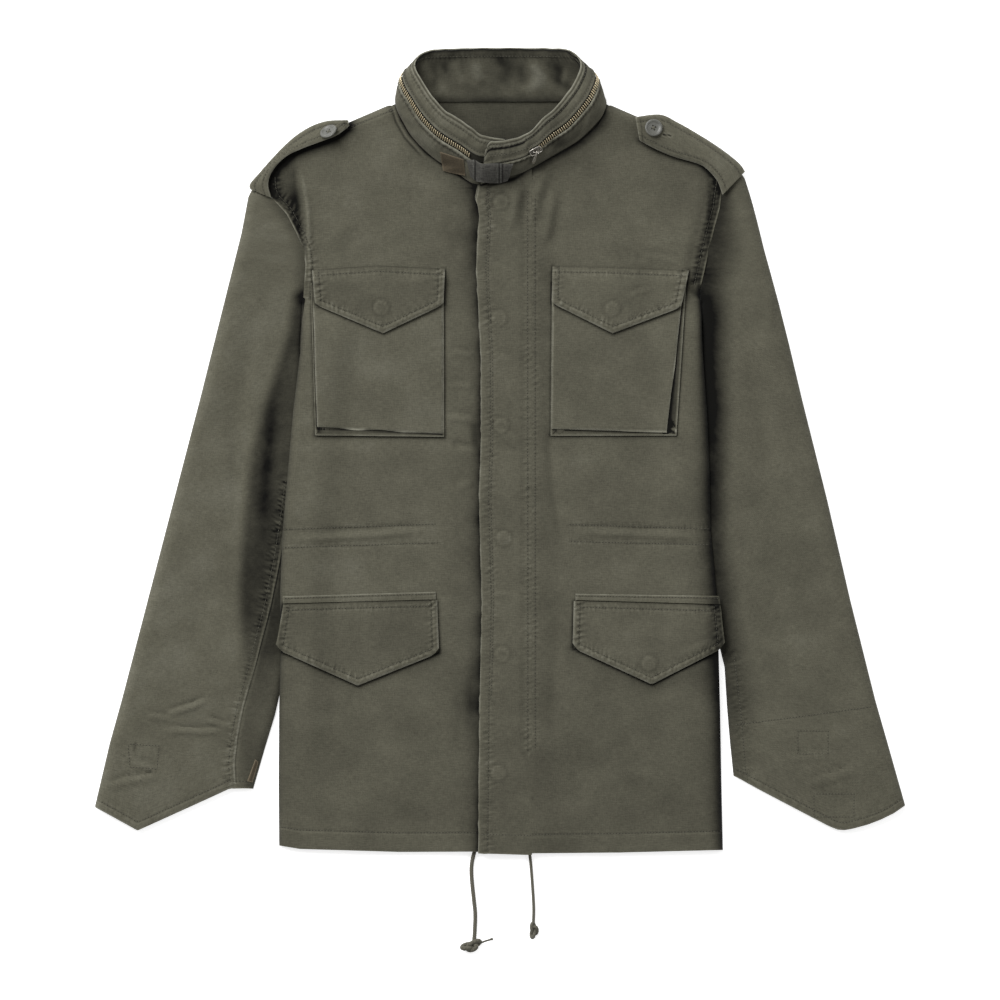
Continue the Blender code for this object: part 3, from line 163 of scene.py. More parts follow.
STORM_FREE = [(-404, -22), (-247, -20.6), (-151, -18.3), (-46, -21.2), (4, -19.3), (91, -19.3), (182, -24),
              (234, -21.2), (251, -24), (266, -21.2)]

# Epaulettes, from the buttoned tip to the sleeve head: low edge (x, y, z), far edge (x, y, z), middle z
EPAULETTE = {
    RIGHT: [(-151.5, 325, 12.5, -152.3, 330.3, 9.5, 11.8), (-164, 316, 13.8, -173, 329.5, 5.0, 11.6),
            (-180.5, 309.5, 14.5, -190, 323.5, 3.4, 11.2), (-197, 303.5, 14.5, -207, 312, 3.0, 11.0),
            (-214, 295.5, 13.6, -224, 296, 3.0, 10.6), (-227, 282.5, 12.6, -239, 279, 3.2, 10.2),
            (-232.5, 268, 11.0, -249.3, 266.5, 5.8, 9.9), (-229.6, 253.5, 9.2, -248.3, 261.2, 7.8, 9.4)],
    LEFT: [(140.4, 311, 13.2, 136, 333.4, 12.0, 14.4), (158, 301.5, 11.4, 160, 336, 6.0, 13.2),
           (176, 294.4, 10.6, 176.5, 328.5, 5.0, 12.4), (197.8, 288, 10.4, 199, 315.5, 4.6, 12.0),
           (207, 282.8, 10.4, 219, 303, 4.4, 11.8), (217.7, 270.7, 10.2, 237.6, 288.3, 4.4, 11.4),
           (223, 256.5, 9.8, 244.5, 279, 5.4, 10.4)],
}
BUTTON_AT = {RIGHT: (-171.4, 319.2), LEFT: (153.4, 322.7)}
THROAT_PAD = (((-60, 299.4), (-48, 295.4), (-36.5, 291.7)), ((-57, 280), (-44, 277), (-34.5, 275.4)))
THROAT_STRAP = (((-33.6, 290.8), (-25.4, 291.4), (-18.3, 287), (-8, 287.4), (2, 287.4), (13, 286.6)),
                ((-29.5, 274), (-24, 269.6), (-17, 268.4), (-9, 267.6), (0, 267.6), (7.8, 270)))
CUFF_PAD = Face((-244.6, -308.5), (-241.6, -311), (-247.4, -331.5), (-252.6, -330))

# Drawcords: (x, y, height above where the cord lies on the surface)
CORD_RADIUS = {RIGHT: 2.1, LEFT: 1.6}
CORD_ROUTE = {
    RIGHT: [(-24.6, -397.7, 1.3), (-26.4, -404, 0.7), (-28.1, -412, 0), (-28.6, -420, 0), (-28, -431, 0),
            (-26, -450, 0), (-24.8, -462.4, 0), (-25.1, -477, 0), (-25.9, -489.9, 0)],
    LEFT: [(29.2, -398.8, 2.3), (30, -405.5, 1.3), (31, -415, 0.1), (33, -442.6, 0), (33.7, -458, 0),
           (33.4, -472.2, 0)],
}
FLOOR_CLEAR = 0.1
TAIL_ROUTE = [(-18.4, -491.4, 3.4), (-15, -490.2, 2.8), (-11, -489, 1.9), (-7.2, -487.7, 1.3)]
TAIL_RADIUS = 1.0
Knot = namedtuple("Knot", "centre half_length half_width half_height turn")
KNOT = {RIGHT: Knot((-28.6, -494.8), 11.2, 6.0, 4.6, math.radians(19)),
        LEFT: Knot((33.7, -479.4), 8.6, 4.8, 3.8, math.radians(88))}

# Creases: points, breadth, height (negative for a trough), and how much it leans
Crease = namedtuple("Crease", "points breadth height lean")
FOLDS = [
    Crease([(-189, 285), (-189, 165)], 6, 0.9, 0), Crease([(-35, 235), (-38, -330)], 13, -1.6, 0),
    Crease([(-160, 60), (-60, 20)], 16, -0.7, 0), Crease([(-205, -60), (-120, -110)], 12, -0.8, 0),
    Crease([(204, 265), (200, 200)], 7, 0.9, 0), Crease([(60, 255), (45, -60)], 14, -0.8, 0),
    Crease([(190, -40), (110, -100)], 14, -0.8, 0),
]
BODY_CREASES = {
    RIGHT: [
        Crease([(-202, 290), (-193, 246), (-190.5, 165)], 3.4, 1.5, 0),
        Crease([(-209, 290), (-207, 248)], 2.8, 0.9, 0),
        Crease([(-205, 288), (-199, 235), (-196, 170)], 3.6, -1.5, 0),
        Crease([(-216.5, -89), (-140, -85), (-63, -79)], 3.6, 1.0, 0.8),
        Crease([(-52, 98), (-24, 95)], 3, 0.6, 0.8), Crease([(-54, 66), (-24, 64)], 3, 0.5, 0.8),
        Crease([(-56, 34), (-24, 30)], 3.5, 0.7, 0.8), Crease([(-50, 8), (-24, 3)], 4, -1.2, 0),
        Crease([(-46, -40), (-25, -30)], 4, 0.6, 0.6), Crease([(-120, -215), (-60, -240)], 10, -0.6, 0),
        Crease([(-33, 250), (-26, 200)], 5, 1.2, 0.8), Crease([(-52, 240), (-40, 190)], 6, -1.0, 0),
        Crease([(-33, -230), (-42, -320)], 9, -1.3, 0), Crease([(-150, 235), (-172, 195)], 9, 0.6, 0.5),
        Crease([(-190, -160), (-197, -330)], 12, 0.7, 0), Crease([(-180, 10), (-100, -20)], 14, 0.6, 0),
    ],
    LEFT: [
        Crease([(207, 285), (206.5, 225), (205, 165)], 3.2, 1.3, 0),
        Crease([(212, 280), (210.5, 215)], 3, -1.1, 0),
        Crease([(68, -81), (140, -83.5), (210, -86.5)], 3.6, 1.0, 0.8),
        Crease([(141, 196), (160, 193), (178, 187)], 2.8, 0.6, 0.8),
        Crease([(128, 190), (150, 187)], 2.6, 0.4, 0.7),
        Crease([(101, 338), (110, 316)], 2.2, 0.8, 0.8), Crease([(92, 328), (99, 312)], 2.6, 0.6, 0.7),
        Crease([(192, 226), (204, 219)], 1.8, 0.5, 0.7), Crease([(192, 214), (204, 207)], 1.8, 0.5, 0.7),
        Crease([(193, 202), (203, 196)], 1.8, 0.5, 0.7), Crease([(193, 190), (202, 184)], 1.8, 0.5, 0.7),
        Crease([(47, 60), (53, -30), (66, -112)], 5, -1.0, 0), Crease([(60, 30), (74, -60)], 9, 0.7, 0),
        Crease([(46, 284), (36, 250), (30, 220)], 6, 1.0, 0.5), Crease([(56, 268), (44, 200)], 6, 1.0, 0.7),
        Crease([(75, 285), (88, 240)], 8, 0.6, 0.4),
        Crease([(110, -255), (190, -235)], 10, -0.6, 0), Crease([(205, -170), (212, -330)], 10, 0.6, 0),
        Crease([(60, -140), (52, -300)], 8, -0.8, 0),
    ],
}
SLEEVE_CREASES = {
    RIGHT: [
        Crease([(-334, -264), (-306, -255), (-290, -248)], 2.6, 1.3, 0.9),
        Crease([(-355, -264), (-328, -269)], 2.6, 0.9, 0.8),
        Crease([(-294, -268), (-268, -279)], 2.6, 1.2, 0.8),
        Crease([(-338, -279), (-300, -281), (-270, -280)], 2.8, 1.0, 0.8),
        Crease([(-395, -337), (-373, -330), (-340, -325)], 2.8, 1.4, 0.8),
        Crease([(-366, -313), (-340, -320)], 2.6, 1.1, 0.8),
        Crease([(-262, 160), (-300, 10)], 12, 0.9, 0),
        Crease([(-240, 150), (-262, 30), (-262, -80)], 11, -1.2, 0),
        Crease([(-320, -60), (-350, -200)], 16, 0.7, 0), Crease([(-285, -120), (-318, -230)], 12, -0.7, 0),
    ],
    LEFT: [
        Crease([(302, -335), (330, -327), (360, -316)], 3.0, 1.3, 0.8),
        Crease([(286, -308), (330, -304)], 2.6, 0.8, 0.7),
        Crease([(262, 150), (302, 0)], 13, 0.9, 0), Crease([(244, 140), (262, 20), (268, -60)], 12, -1.0, 0),
        Crease([(330, -60), (372, -240)], 16, 0.7, 0), Crease([(300, -120), (330, -220)], 12, -0.6, 0),
        Crease([(275, 175), (268, 110)], 5, 0.6, 0.6),
    ],
}

# Snaps that show as soft rounds through the cloth: (x, y)
STORM_SNAPS = [(0.8, 249), (-1, 133), (1, 25.5), (3.7, -87), (1.7, -203), (-2, -322)]
FLAP_SNAPS = {"chest": {RIGHT: (-119, 144), LEFT: (112, 142.2)}, "lower": {RIGHT: None, LEFT: (149, -212)}}

CLOTH = 1.2           # wall of the visible cloth
GRAIN = 2.3    # spacing of the cloth's vertices, away from seams
FINE = 0.95     # and near them
STITCH_PITCH, STITCH_LENGTH, STITCH_RADIUS = 3.1, 2.2, 0.24


# Reading the tables

def bell(away, breadth):
    """A smooth bump that is 1 at no distance and fades over its breadth."""
    return np.exp(-(away / breadth) ** 2)


def run_along(points):
    """How far along a line of points each one lies, from 0."""
    return np.concatenate([[0.0], np.cumsum(np.hypot(*np.diff(points, axis=0).T))])


def spline_point(before, here, there, after, part):
    """A point part of the way from here to there on a smooth curve through four points."""
    return 0.5 * (2 * here + (there - before) * part
                  + (2 * before - 5 * here + 4 * there - after) * part ** 2
                  + (3 * here - before - 3 * there + after) * part ** 3)


def ease(share):
    share = np.clip(share, 0.0, 1.0)
    return share * share * (3.0 - 2.0 * share)


def x_at(rows, y):
    ys, xs = np.array(rows, float).T
    return np.interp(y, ys, xs)


def plan(rows):
    return [(x, y) for y, x in rows]


def beside(path, distance):
    """A line of points moved to its left by a distance, with mitred corners."""
    points = np.array(path, float)
    runs = np.diff(points, axis=0)
    runs /= np.hypot(*runs.T)[:, None]
    left = np.stack([-runs[:, 1], runs[:, 0]], axis=1)
    corner = np.vstack([left[:1], left[:-1] + left[1:], left[-1:]])
    corner /= np.hypot(*corner.T)[:, None]
    cosine = (corner * np.vstack([left, left[-1:]])).sum(axis=1)
    return [tuple(spot) for spot in points + corner * (distance / np.maximum(cosine, 0.5))[:, None]]


def reach(path, x, y, limit=60.0):
    """Plan distance to a line of points (up to a limit), how far along it, and on which hand (+1 left)."""
    points = np.array(path, float)
    x, y = np.broadcast_arrays(np.asarray(x, float), np.asarray(y, float))
    low, high = points.min(axis=0) - limit, points.max(axis=0) + limit
    close = (x > low[0]) & (x < high[0]) & (y > low[1]) & (y < high[1])
    px, py = x[close], y[close]
    best, place, hand = np.full(px.shape, float(limit)), np.zeros(px.shape), np.ones(px.shape)
    begun = 0.0
    for (ax, ay), (bx, by) in zip(points, points[1:]):
        rx, ry = bx - ax, by - ay
        span = math.hypot(rx, ry)
        share = np.clip(((px - ax) * rx + (py - ay) * ry) / span ** 2, 0.0, 1.0)
        away = np.hypot(ax + share * rx - px, ay + share * ry - py)
        nearer = away < best
        best = np.where(nearer, away, best)
        place = np.where(nearer, begun + share * span, place)
        hand = np.where(nearer, np.sign(rx * (py - ay) - ry * (px - ax) + 1e-9), hand)
        begun += span
    full = [np.full(x.shape, float(limit)), np.zeros(x.shape), np.ones(x.shape)]
    for whole, part in zip(full, (best, place, hand)):
        whole[close] = part
    return full


def length_of(path):
    return float(np.hypot(*np.diff(np.array(path, float), axis=0).T).sum())


TABLE_SIZE = 89


def ripple(x, y, size, seed):
    """Soft seeded unevenness with hollows and swellings of about this size, from -1 to 1."""
    table = np.random.default_rng(seed).uniform(-1.0, 1.0, (TABLE_SIZE, TABLE_SIZE))
    u, v = np.asarray(x, float) / size + 900.3, np.asarray(y, float) / size + 700.7
    i, j = np.floor(u).astype(int), np.floor(v).astype(int)
    a, b = ease(u - i), ease(v - j)
    i, k, j, m = i % TABLE_SIZE, (i + 1) % TABLE_SIZE, j % TABLE_SIZE, (j + 1) % TABLE_SIZE
    return (table[i, j] * (1 - a) * (1 - b) + table[k, j] * a * (1 - b)
            + table[i, m] * (1 - a) * b + table[k, m] * a * b)


# The surfaces that the cloth follows

def lift(side, x, y):
    inside = side * (x_at(SIDE[side], y) - x)
    high = ease((ARMHOLE[side][0][0] - y) / UNDERARM_RAMP)
    low = ease((y - LIFT_LOW_NONE) / (LIFT_LOW_FULL - LIFT_LOW_NONE))
    return BODY_LIFT * high * low * ease((LIFT_NONE - inside) / (LIFT_NONE - LIFT_FULL))


def creased(x, y, creases, share=1.0):
    total = np.zeros(np.shape(x))
    for crease in creases:
        away, run, hand = reach(crease.points, x, y)
        span = length_of(crease.points)
        taper = ease(run / (0.3 * span)) * ease((span - run) / (0.3 * span))
        aside = away * hand
        bump = bell(away, crease.breadth)
        if crease.lean:
            bump = bump - crease.lean * bell(aside - 1.4 * crease.breadth, crease.breadth)
        total += share * crease.height * taper * bump
    return total


def hem_y(x):
    ys, xs = np.array(HEM, float).T
    return np.interp(x, xs, ys)


def hem_shift(x, level, short=0.0):
    return (hem_y(x) - BOTTOM + short) * np.maximum(0.0, 1.0 - (level - BOTTOM) / HEM_BLEND)


CLIMB_LINE = {RIGHT: plan(NECK[RIGHT]), LEFT: [(-22, 266)] + plan(NECK[LEFT])}


def front_level(side, x, y):
    """Where the top of a front panel lies, without its rolled edges and its fine puckers."""
    climb = NECK_RISE[side] * (1.0 - ease(reach(CLIMB_LINE[side], x, y)[0] / NECK_REACH))
    hem = HEM_FOLD * ease((hem_y(x) + HEM_DEPTH - y) / 2.0)
    soft = 1.3 * ripple(x, y, 74, 5) + 0.6 * ripple(x, y, 27, 6)
    return (FRONT_TOP + lift(side, x, y) + climb + creased(x, y, FOLDS) + hem + soft
            + creased(x, y, BODY_CREASES[side], 2.1))


def edge_shade(side, x, y):
    """How dark the cloth turns where it rolls away from the light, at the body's left edge."""
    inside = np.maximum(side * (x_at(SIDE[side], y) - x), 0.0)
    if side == RIGHT:
        return 0.45 * np.exp(-inside / 4.0) * ease((150 - y) / 30)
    breadth = x_at([(-404, 7), (-330, 9), (-200, 13), (-60, 11), (60, 8), (121, 3.2), (165, 3)], y)
    return 0.85 * np.exp(-(inside / breadth) ** 1.5) * ease((172 - y) / 15)


def roll(distance):
    share = np.minimum(distance / ROLL, 1.0)
    return np.sqrt(1.0 - (1.0 - share) ** 2)


def armhole_valley(side, x, y):
    return SEAM_DIP * (1.0 - ease(reach(plan(ARMHOLE[side]), x, y)[0] / SEAM_VALLEY))


def front_height(side, x, y):
    level = front_level(side, x, y)
    edge = EDGE_RISE + lift(side, x, y)
    away = np.minimum(reach(plan(SIDE[side]), x, y)[0], reach(plan(SHOULDER[side]), x, y)[0])
    return np.minimum(edge + (level - edge) * roll(away), level - armhole_valley(side, x, y))


SLEEVE_OUTER = {side: [(row[0], row[1]) for row in reversed(SLEEVE[side])] for side in SIDES}
SLEEVE_HIDDEN = {side: [(row[2], row[3]) for row in reversed(SLEEVE[side]) if row[3] <= ARMHOLE[side][0][0]]
                 for side in SIDES}
HEAD = {side: [SLEEVE_OUTER[side][-1], plan(ARMHOLE[side])[-1]] for side in SIDES}


def sleeve_height(side, x, y):
    from_inner = reach(SLEEVE_HIDDEN[side], x, y)[0]
    climb = ease((from_inner - SLEEVE_MARGIN) / SLEEVE_MARGIN)
    level = SLEEVE_MARGIN_TOP + (FRONT_TOP - SLEEVE_MARGIN_TOP) * climb
    level = level + climb * (1.1 * ripple(x, y, 60, 15) + 0.5 * ripple(x, y, 24, 16)
                             + creased(x, y, SLEEVE_CREASES[side], 2.1))
    away = np.minimum(np.minimum(from_inner, reach(SLEEVE_OUTER[side], x, y)[0]), reach(HEAD[side], x, y)[0])
    rolled = EDGE_RISE + (level - EDGE_RISE) * roll(away)
    return np.minimum(rolled, level - armhole_valley(side, x, y))


SPAN_DROOP, SPAN_BREADTH = 1.0, 6.0


def laid_level(side, x, y):
    """Where a piece lies that spans the front's rolled side edge instead of rolling with it."""
    outside = side * (x - x_at(SIDE[side], y)) > 0
    away = np.where(outside, 0.0, reach(plan(SIDE[side]), x, y)[0])
    return front_level(side, x, y) - SPAN_DROOP * (1.0 - ease(away / SPAN_BREADTH))


# Seams

Seam = namedtuple("Seam", "path pucker spread thread sunk", defaults=(1.0,))
# path: where the row of stitches runs; pucker: how high the cloth gathers beside it; spread: how far
# that reaches; thread: whether stitches are sewn along it; sunk: how deep the row sits in the cloth
STITCHED = []


def ruck(run, aside, seed, pitch=5.4):
    """Gathers across a seam: ridges a pitch apart, slanting and uneven."""
    phase = run / pitch + 0.55 * ripple(run, aside * 0.4, 13, seed) + 0.07 * aside
    strength = 0.65 + 0.5 * ripple(run, aside * 0.3, 17, seed + 1)
    wave = np.sin(2 * np.pi * phase)
    return (wave + 0.25 * wave * np.abs(wave)) * strength


class Sewn:
    """Heights and marks that a panel's seams and edges add, gathered over its vertices; the tone mark holds
    worn edges and uneven dye, and painted light and shade as well.
    """

    def __init__(self, x, y, seed):
        self.x, self.y, self.seed = x, y, seed
        self.height, self.tone, self.run, self.gather = (np.zeros(np.shape(x)) for _ in range(4))
        self.tone += 0.05 * ripple(x + 0.35 * y, 0.4 * y, 30, 50) + 0.03 * ripple(x, y, 75, 51)
        self.tone += 0.045 * ripple(0.4 * x - 0.2 * y, y, 13, 52)
        self.away = np.full(np.shape(x), 20.0)

    def seams(self, seams):
        for number, seam in enumerate(seams):
            away, run, hand = reach(seam.path, self.x, self.y, 24.0)
            near = bell(away, seam.spread)
            wave = ruck(run, away * hand, self.seed + 3 * number)
            # The tone follows the puckers' wave, lighter on their ridges and darker in their troughs: painted
            # light and shade; the sunk row gets a dark line, painted shade in its groove, with a painted
            # highlight beside it.
            self.height += 0.9 * seam.pucker * wave * near - 0.3 * seam.sunk * bell(away, 1.0)
            self.tone += 0.32 * seam.pucker * wave * near - 0.24 * seam.sunk * bell(away, 0.8)
            self.tone += 0.1 * seam.sunk * bell(away - 1.8, 0.8)
            closer = away < self.away
            self.run = np.where(closer, run + 31 * number, self.run)
            self.away = np.where(closer, away, self.away)
            self.gather = np.maximum(self.gather, seam.pucker * near)
        return self

    def edge(self, path, light=0.8, fold=0.5, puff=0.25, breadth=6.0):
        """A turned edge: worn light along its fold, and a little fuller inside it."""
        away, run, _ = reach(path, self.x, self.y, 24.0)
        uneven = 0.72 + 0.4 * ripple(run, away * 0.2, 9.0, self.seed + 40)
        self.height += puff * bell(away - breadth / 2, breadth / 3) - fold * (1 - ease(away / 1.3))
        self.tone += light * uneven * bell(away, 1.05)
        return self

    def shade(self, path, depth, breadth):
        """Painted shade beside a piece that lies on this one: the tone darkens near its outline."""
        self.tone -= depth * bell(reach(path, self.x, self.y, 40.0)[0], breadth)
        return self

    def bump(self, spot, radius=8.0, height=0.8):
        away = np.hypot(self.x - spot[0], self.y - spot[1])
        self.height += height * (1.0 - ease((away - 0.55 * radius) / (0.45 * radius)))
        # A light ring and a dark ring round the bump: painted highlight and painted shade.
        self.tone += 0.2 * bell(away - 0.75 * radius, 1.3) - 0.2 * bell(away - 1.1 * radius, 1.6)
        return self

    def marks(self, across=None, along=None):
        return {"tone": self.tone, "sewn": (self.run, self.away, self.gather),
                "weave": (self.x if across is None else across, self.y if along is None else along,
                          0 * self.x)}


def sew(cloth_name, seams):
    """Notes rows of stitches to be laid on a finished cloth."""
    STITCHED.extend((cloth_name, seam.path) for seam in seams if seam.thread)


# Meshes

def deselect():
    bpy.ops.object.select_all(action="DESELECT")


def apply_modifier(obj, modifier):
    deselect()
    obj.select_set(True)
    bpy.context.view_layer.objects.active = obj
    bpy.ops.object.modifier_apply(modifier=modifier.name)


def finish_piece(obj, finish, body="jacket", angle=40.0):
    """Material, smooth shading and the body that a finished mesh rides on."""
    deselect()
    obj.select_set(True)
    bpy.context.view_layer.objects.active = obj
    bpy.ops.object.transform_apply(location=True, rotation=True, scale=True)
    bpy.ops.object.shade_smooth_by_angle(angle=math.radians(angle))
    obj.data.materials.clear()
    obj.data.materials.append(finish)
    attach(obj, body)
    return obj


def cloth(name, node, points, marks, finish, flat, wall=CLOTH, turned=False):
    """A thin cloth wall whose outer face runs through a grid of points."""
    x, y, z = (np.asarray(values, float) for values in points)
    flip = turned if turned is not None else False
    if not turned and (x[:, -1] - x[:, 0]).mean() < 0:
        flip = True
    if flip:
        x, y, z = x[:, ::-1], y[:, ::-1], z[:, ::-1]
    rows, columns = x.shape
    deselect()
    bpy.ops.mesh.primitive_grid_add(x_subdivisions=columns - 1, y_subdivisions=rows - 1, size=2.0)
    obj = bpy.context.object
    obj.name = obj.data.name = name
    mesh = obj.data
    mesh.vertices.foreach_set("co", (np.stack([x, y, z], axis=-1) * MM).astype(np.float32).ravel())
    step = -1 if flip else 1
    mesh.attributes.new("tone", "FLOAT", "POINT").data.foreach_set(
        "value", marks["tone"][:, ::step].astype(np.float32).ravel())
    for key in ("sewn", "weave"):
        vectors = np.stack([np.broadcast_to(values, x.shape)[:, ::step] for values in marks[key]], axis=-1)
        mesh.attributes.new(key, "FLOAT_VECTOR", "POINT").data.foreach_set(
            "vector", vectors.astype(np.float32).ravel())
    mesh.update()
    shell = obj.modifiers.new("cloth wall", "SOLIDIFY")
    shell.thickness = wall * MM
    shell.offset = -1.0
    shell.use_even_offset = False
    apply_modifier(obj, shell)
    finish_piece(obj, finish, angle=60.0)
    if node:
        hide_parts(node)
    flat = (max(flat[0], 0.0101), flat[1])
    return obj


def stepped(length, fine_near=(), band=2.2):
    """Places from 0 to a length: close together near some of them, and evenly spread between."""
    places, here = [0.0], 0.0
    while here < length:
        close = any(abs(here - spot) < band for spot in fine_near)
        here += FINE if close else GRAIN
        places.append(min(here, length))
    if len(places) > 2 and places[-1] - places[-2] < 0.4 * FINE:
        places.pop(-2)
    return np.array(places)


def between(start, end, outer, inner, cells):
    """Points from start to end in each row: steps near both ends, and even cells between them."""
    start, end = np.asarray(start, float), np.asarray(end, float)
    width = np.abs(end - start)[:, None]
    outer, inner = np.array(outer)[None, :], np.array(inner)[None, ::-1]
    squeeze = np.minimum(1.0, width / (1.6 * (outer[0, -1] + inner[0, 0])))
    near, far = outer * squeeze, width - inner * squeeze
    middle = near[:, -1:] + (far[:, :1] - near[:, -1:]) * np.arange(1, cells)[None, :] / cells
    return np.concatenate([near, middle, far], axis=1)


OUTER_STEPS = [0.0, 0.35, 1.0, 2.0, 3.2, 4.8, 6.8, 9.0, 11.0]
OUTER_STEPS = [0.0, 0.25, 0.6, 1.1, 1.8, 2.6, 3.6, 4.8, 6.2, 7.6, 9.0, 10.8]


def front_seams(side):
    hem = [(x, y + HEM_DEPTH) for y, x in HEM if side * x > -30]
    waist = {RIGHT: ([(-216.5, -78.5), (-62.7, -73)], [(-217.3, -96.8), (-59.5, -91.7)]),
             LEFT: ([(67, -73.5), (210.6, -78)], [(68.8, -90.5), (210.6, -93.8)])}[side]
    armhole = beside(plan(ARMHOLE[side]), -side * -7.0)
    seams = [Seam(hem, 0.16, 4.0, True)] + [Seam(list(row), 0.3, 5.0, True) for row in waist]
    seams.append(Seam(armhole, 0.95, 6.0, True))
    if side == RIGHT:
        seams.append(Seam([(-105, 342), (-150, 323.5)], 0.15, 3.0, True))
    if side == LEFT:
        seams.append(Seam([(35.0, 255), (35.2, -300)], 0.4, 5.0, True, 0.4))
    return seams


def build_front(side, finish):
    outline = SIDE[side] + ARMHOLE[side][1:] + SHOULDER[side][1:]
    neck = [(BOTTOM, CENTRE_SPLIT)] + NECK[side]
    levels = BOTTOM + stepped(NECK_TOP - BOTTOM, (0.0, HEM_DEPTH))
    start = x_at(outline, levels) - side * SEAM / 2.0
    end = x_at(neck, levels) + side * SEAM / 2.0
    inner = [0.0, 1.0, 2.0]
    if side == LEFT:
        inner += [16.0, 18.3, 18.9, 19.4, 20.0, 21.0, 22.0, 23.2]
    steps = between(start, end, OUTER_STEPS, inner, round(200 / GRAIN))
    x = start[:, None] - side * steps
    y = levels[:, None] + hem_shift(x, levels[:, None])
    sewn = Sewn(x, y, 100 + side).seams(front_seams(side))
    sewn.edge([(px, py) for py, px in HEM], light=0.6, fold=0.4, puff=0.15)
    away = reach(plan(ARMHOLE[side]), x, y)[0]
    if side == RIGHT:
        # Right side: painted shade in a strip beside the armhole seam, below the epaulette, and a painted
        # highlight along the ridge that bounds it.
        ridge = x_at([(165, -191.5), (205, -192), (246, -194.5), (290, -202)], y) - x
        breadth = np.where(ridge < 9.5, 6.0, 12.0)
        low = ease((y - 148) / 25)
        strip = bell(ridge - 9.5, breadth) * low * (0.4 + 0.6 * ease((272 - y) / 28))
        strip = strip + 0.35 * bell(ridge - 24, 4) * ease((y - 240) / 14)
        sewn.tone += 0.3 * bell(ridge + 1.6, 1.8) * ease((285 - y) / 20) * low
        # Painted shade and a painted highlight in lines beside the collar seam, as of a fold there.
        collar_fold = ease((y - 290) / 15)
        beyond = reach(CLIMB_LINE[side], x, y)[0]
        sewn.tone -= 0.55 * bell(beyond - 6.5, 1.1) * collar_fold
        sewn.tone += 0.3 * bell(beyond - 4.2, 1.0) * collar_fold
        # A painted shade patch beside the storm flap's edge.
        sewn.shade([(-27, 24), (-25, 6)], 0.35, 4.0)
    else:
        # Left side: painted shade in a strip beside the armhole seam.
        strip = 0.68 * (1 - ease((away - 8) / 6)) + 0.3 * bell(away - 16, 7.0)
        sewn.tone -= 0.085
    # A light line along the armhole seam, made uneven, brighter on the right side where the light falls: a
    # painted highlight; the strip is then taken off as painted shade.
    worn = 0.8 + 0.5 * ripple(x, y, 6, 105)
    line = {RIGHT: 0.95, LEFT: 0.35}[side] * ease((y - {RIGHT: 160, LEFT: 205}[side]) / 25)
    sewn.tone += line * worn * bell(away, 1.2) - strip * ease((away - 0.8) / 1.6)
    # Darker towards the hem, and painted shade where the body's side edge rolls away from the light.
    sewn.tone -= 0.1 * ease((-140 - y) / 90) + edge_shade(side, x, y)
    # Painted shadows round the chest pocket's gusset and under the flaps.
    gusset = CHEST_GUSSET[side]
    sewn.shade([gusset.top_outer, gusset.low_outer, gusset.low_inner, gusset.top_inner], 0.55, 1.5)
    sewn.shade([gusset.low_outer, gusset.low_inner], 0.25, 4.0)
    sewn.shade(flap_outline(LOWER_FLAP[side]), 0.7, 1.8).shade(flap_outline(LOWER_FLAP[side])[1:4], 0.2, 7.0)
    sewn.shade(flap_outline(CHEST_FLAP[side]), 0.6, 1.6)
    if side == RIGHT:
        # Painted shade beside the storm flap's free edge, and a painted shade patch low on the front.
        from_flap = np.maximum(x_at(STORM_FREE, y) - x, 0.0)
        spread = x_at([(-404, 6), (-350, 7), (-265, 13), (-235, 12), (-150, 7.5), (-49, 9), (-10, 8),
                       (30, 7.5),
                       (52, 6), (150, 8), (211, 17), (260, 15)], y)
        sewn.tone -= 0.85 * np.exp(-from_flap / spread) * (1 + 0.2 * ripple(y, 0.4 * x, 11, 9))
        sewn.tone -= 0.3 * np.exp(-((from_flap - 10) / 6) ** 2 - ((y + 250) / 25) ** 2)
    # Painted shadow under the epaulette.
    strap = [(row[0], row[1]) for row in EPAULETTE[side]]
    sewn.shade(strap, {RIGHT: 1.1, LEFT: 0.7}[side], {RIGHT: 6.5, LEFT: 3.5}[side])
    sewn.shade(strap, {RIGHT: 0.3, LEFT: 0.15}[side], 18.0)
    # Painted shade along the collar seam, under the collar.
    seam = reach(CLIMB_LINE[side], x, y)[0]
    sewn.tone -= 0.8 * bell(seam, 2.2) + 0.28 * bell(seam, 13.0)
    z = front_height(side, x, y) + sewn.height
    if side == LEFT:
        z = (z + (LAY_CLEAR + FLAP_WALL) * (1
                                            - ease((x
                                                    - STORM_ROOT) / 27)) * ease((x - STORM_ROOT + 1.5) / 1.4))
    name = "front_" + SIDE_NAME[side]
    cloth(name + "_cloth", name, (x, y, z), sewn.marks(), finish, (0.245, 0.76))
    sew(name + "_cloth", front_seams(side))


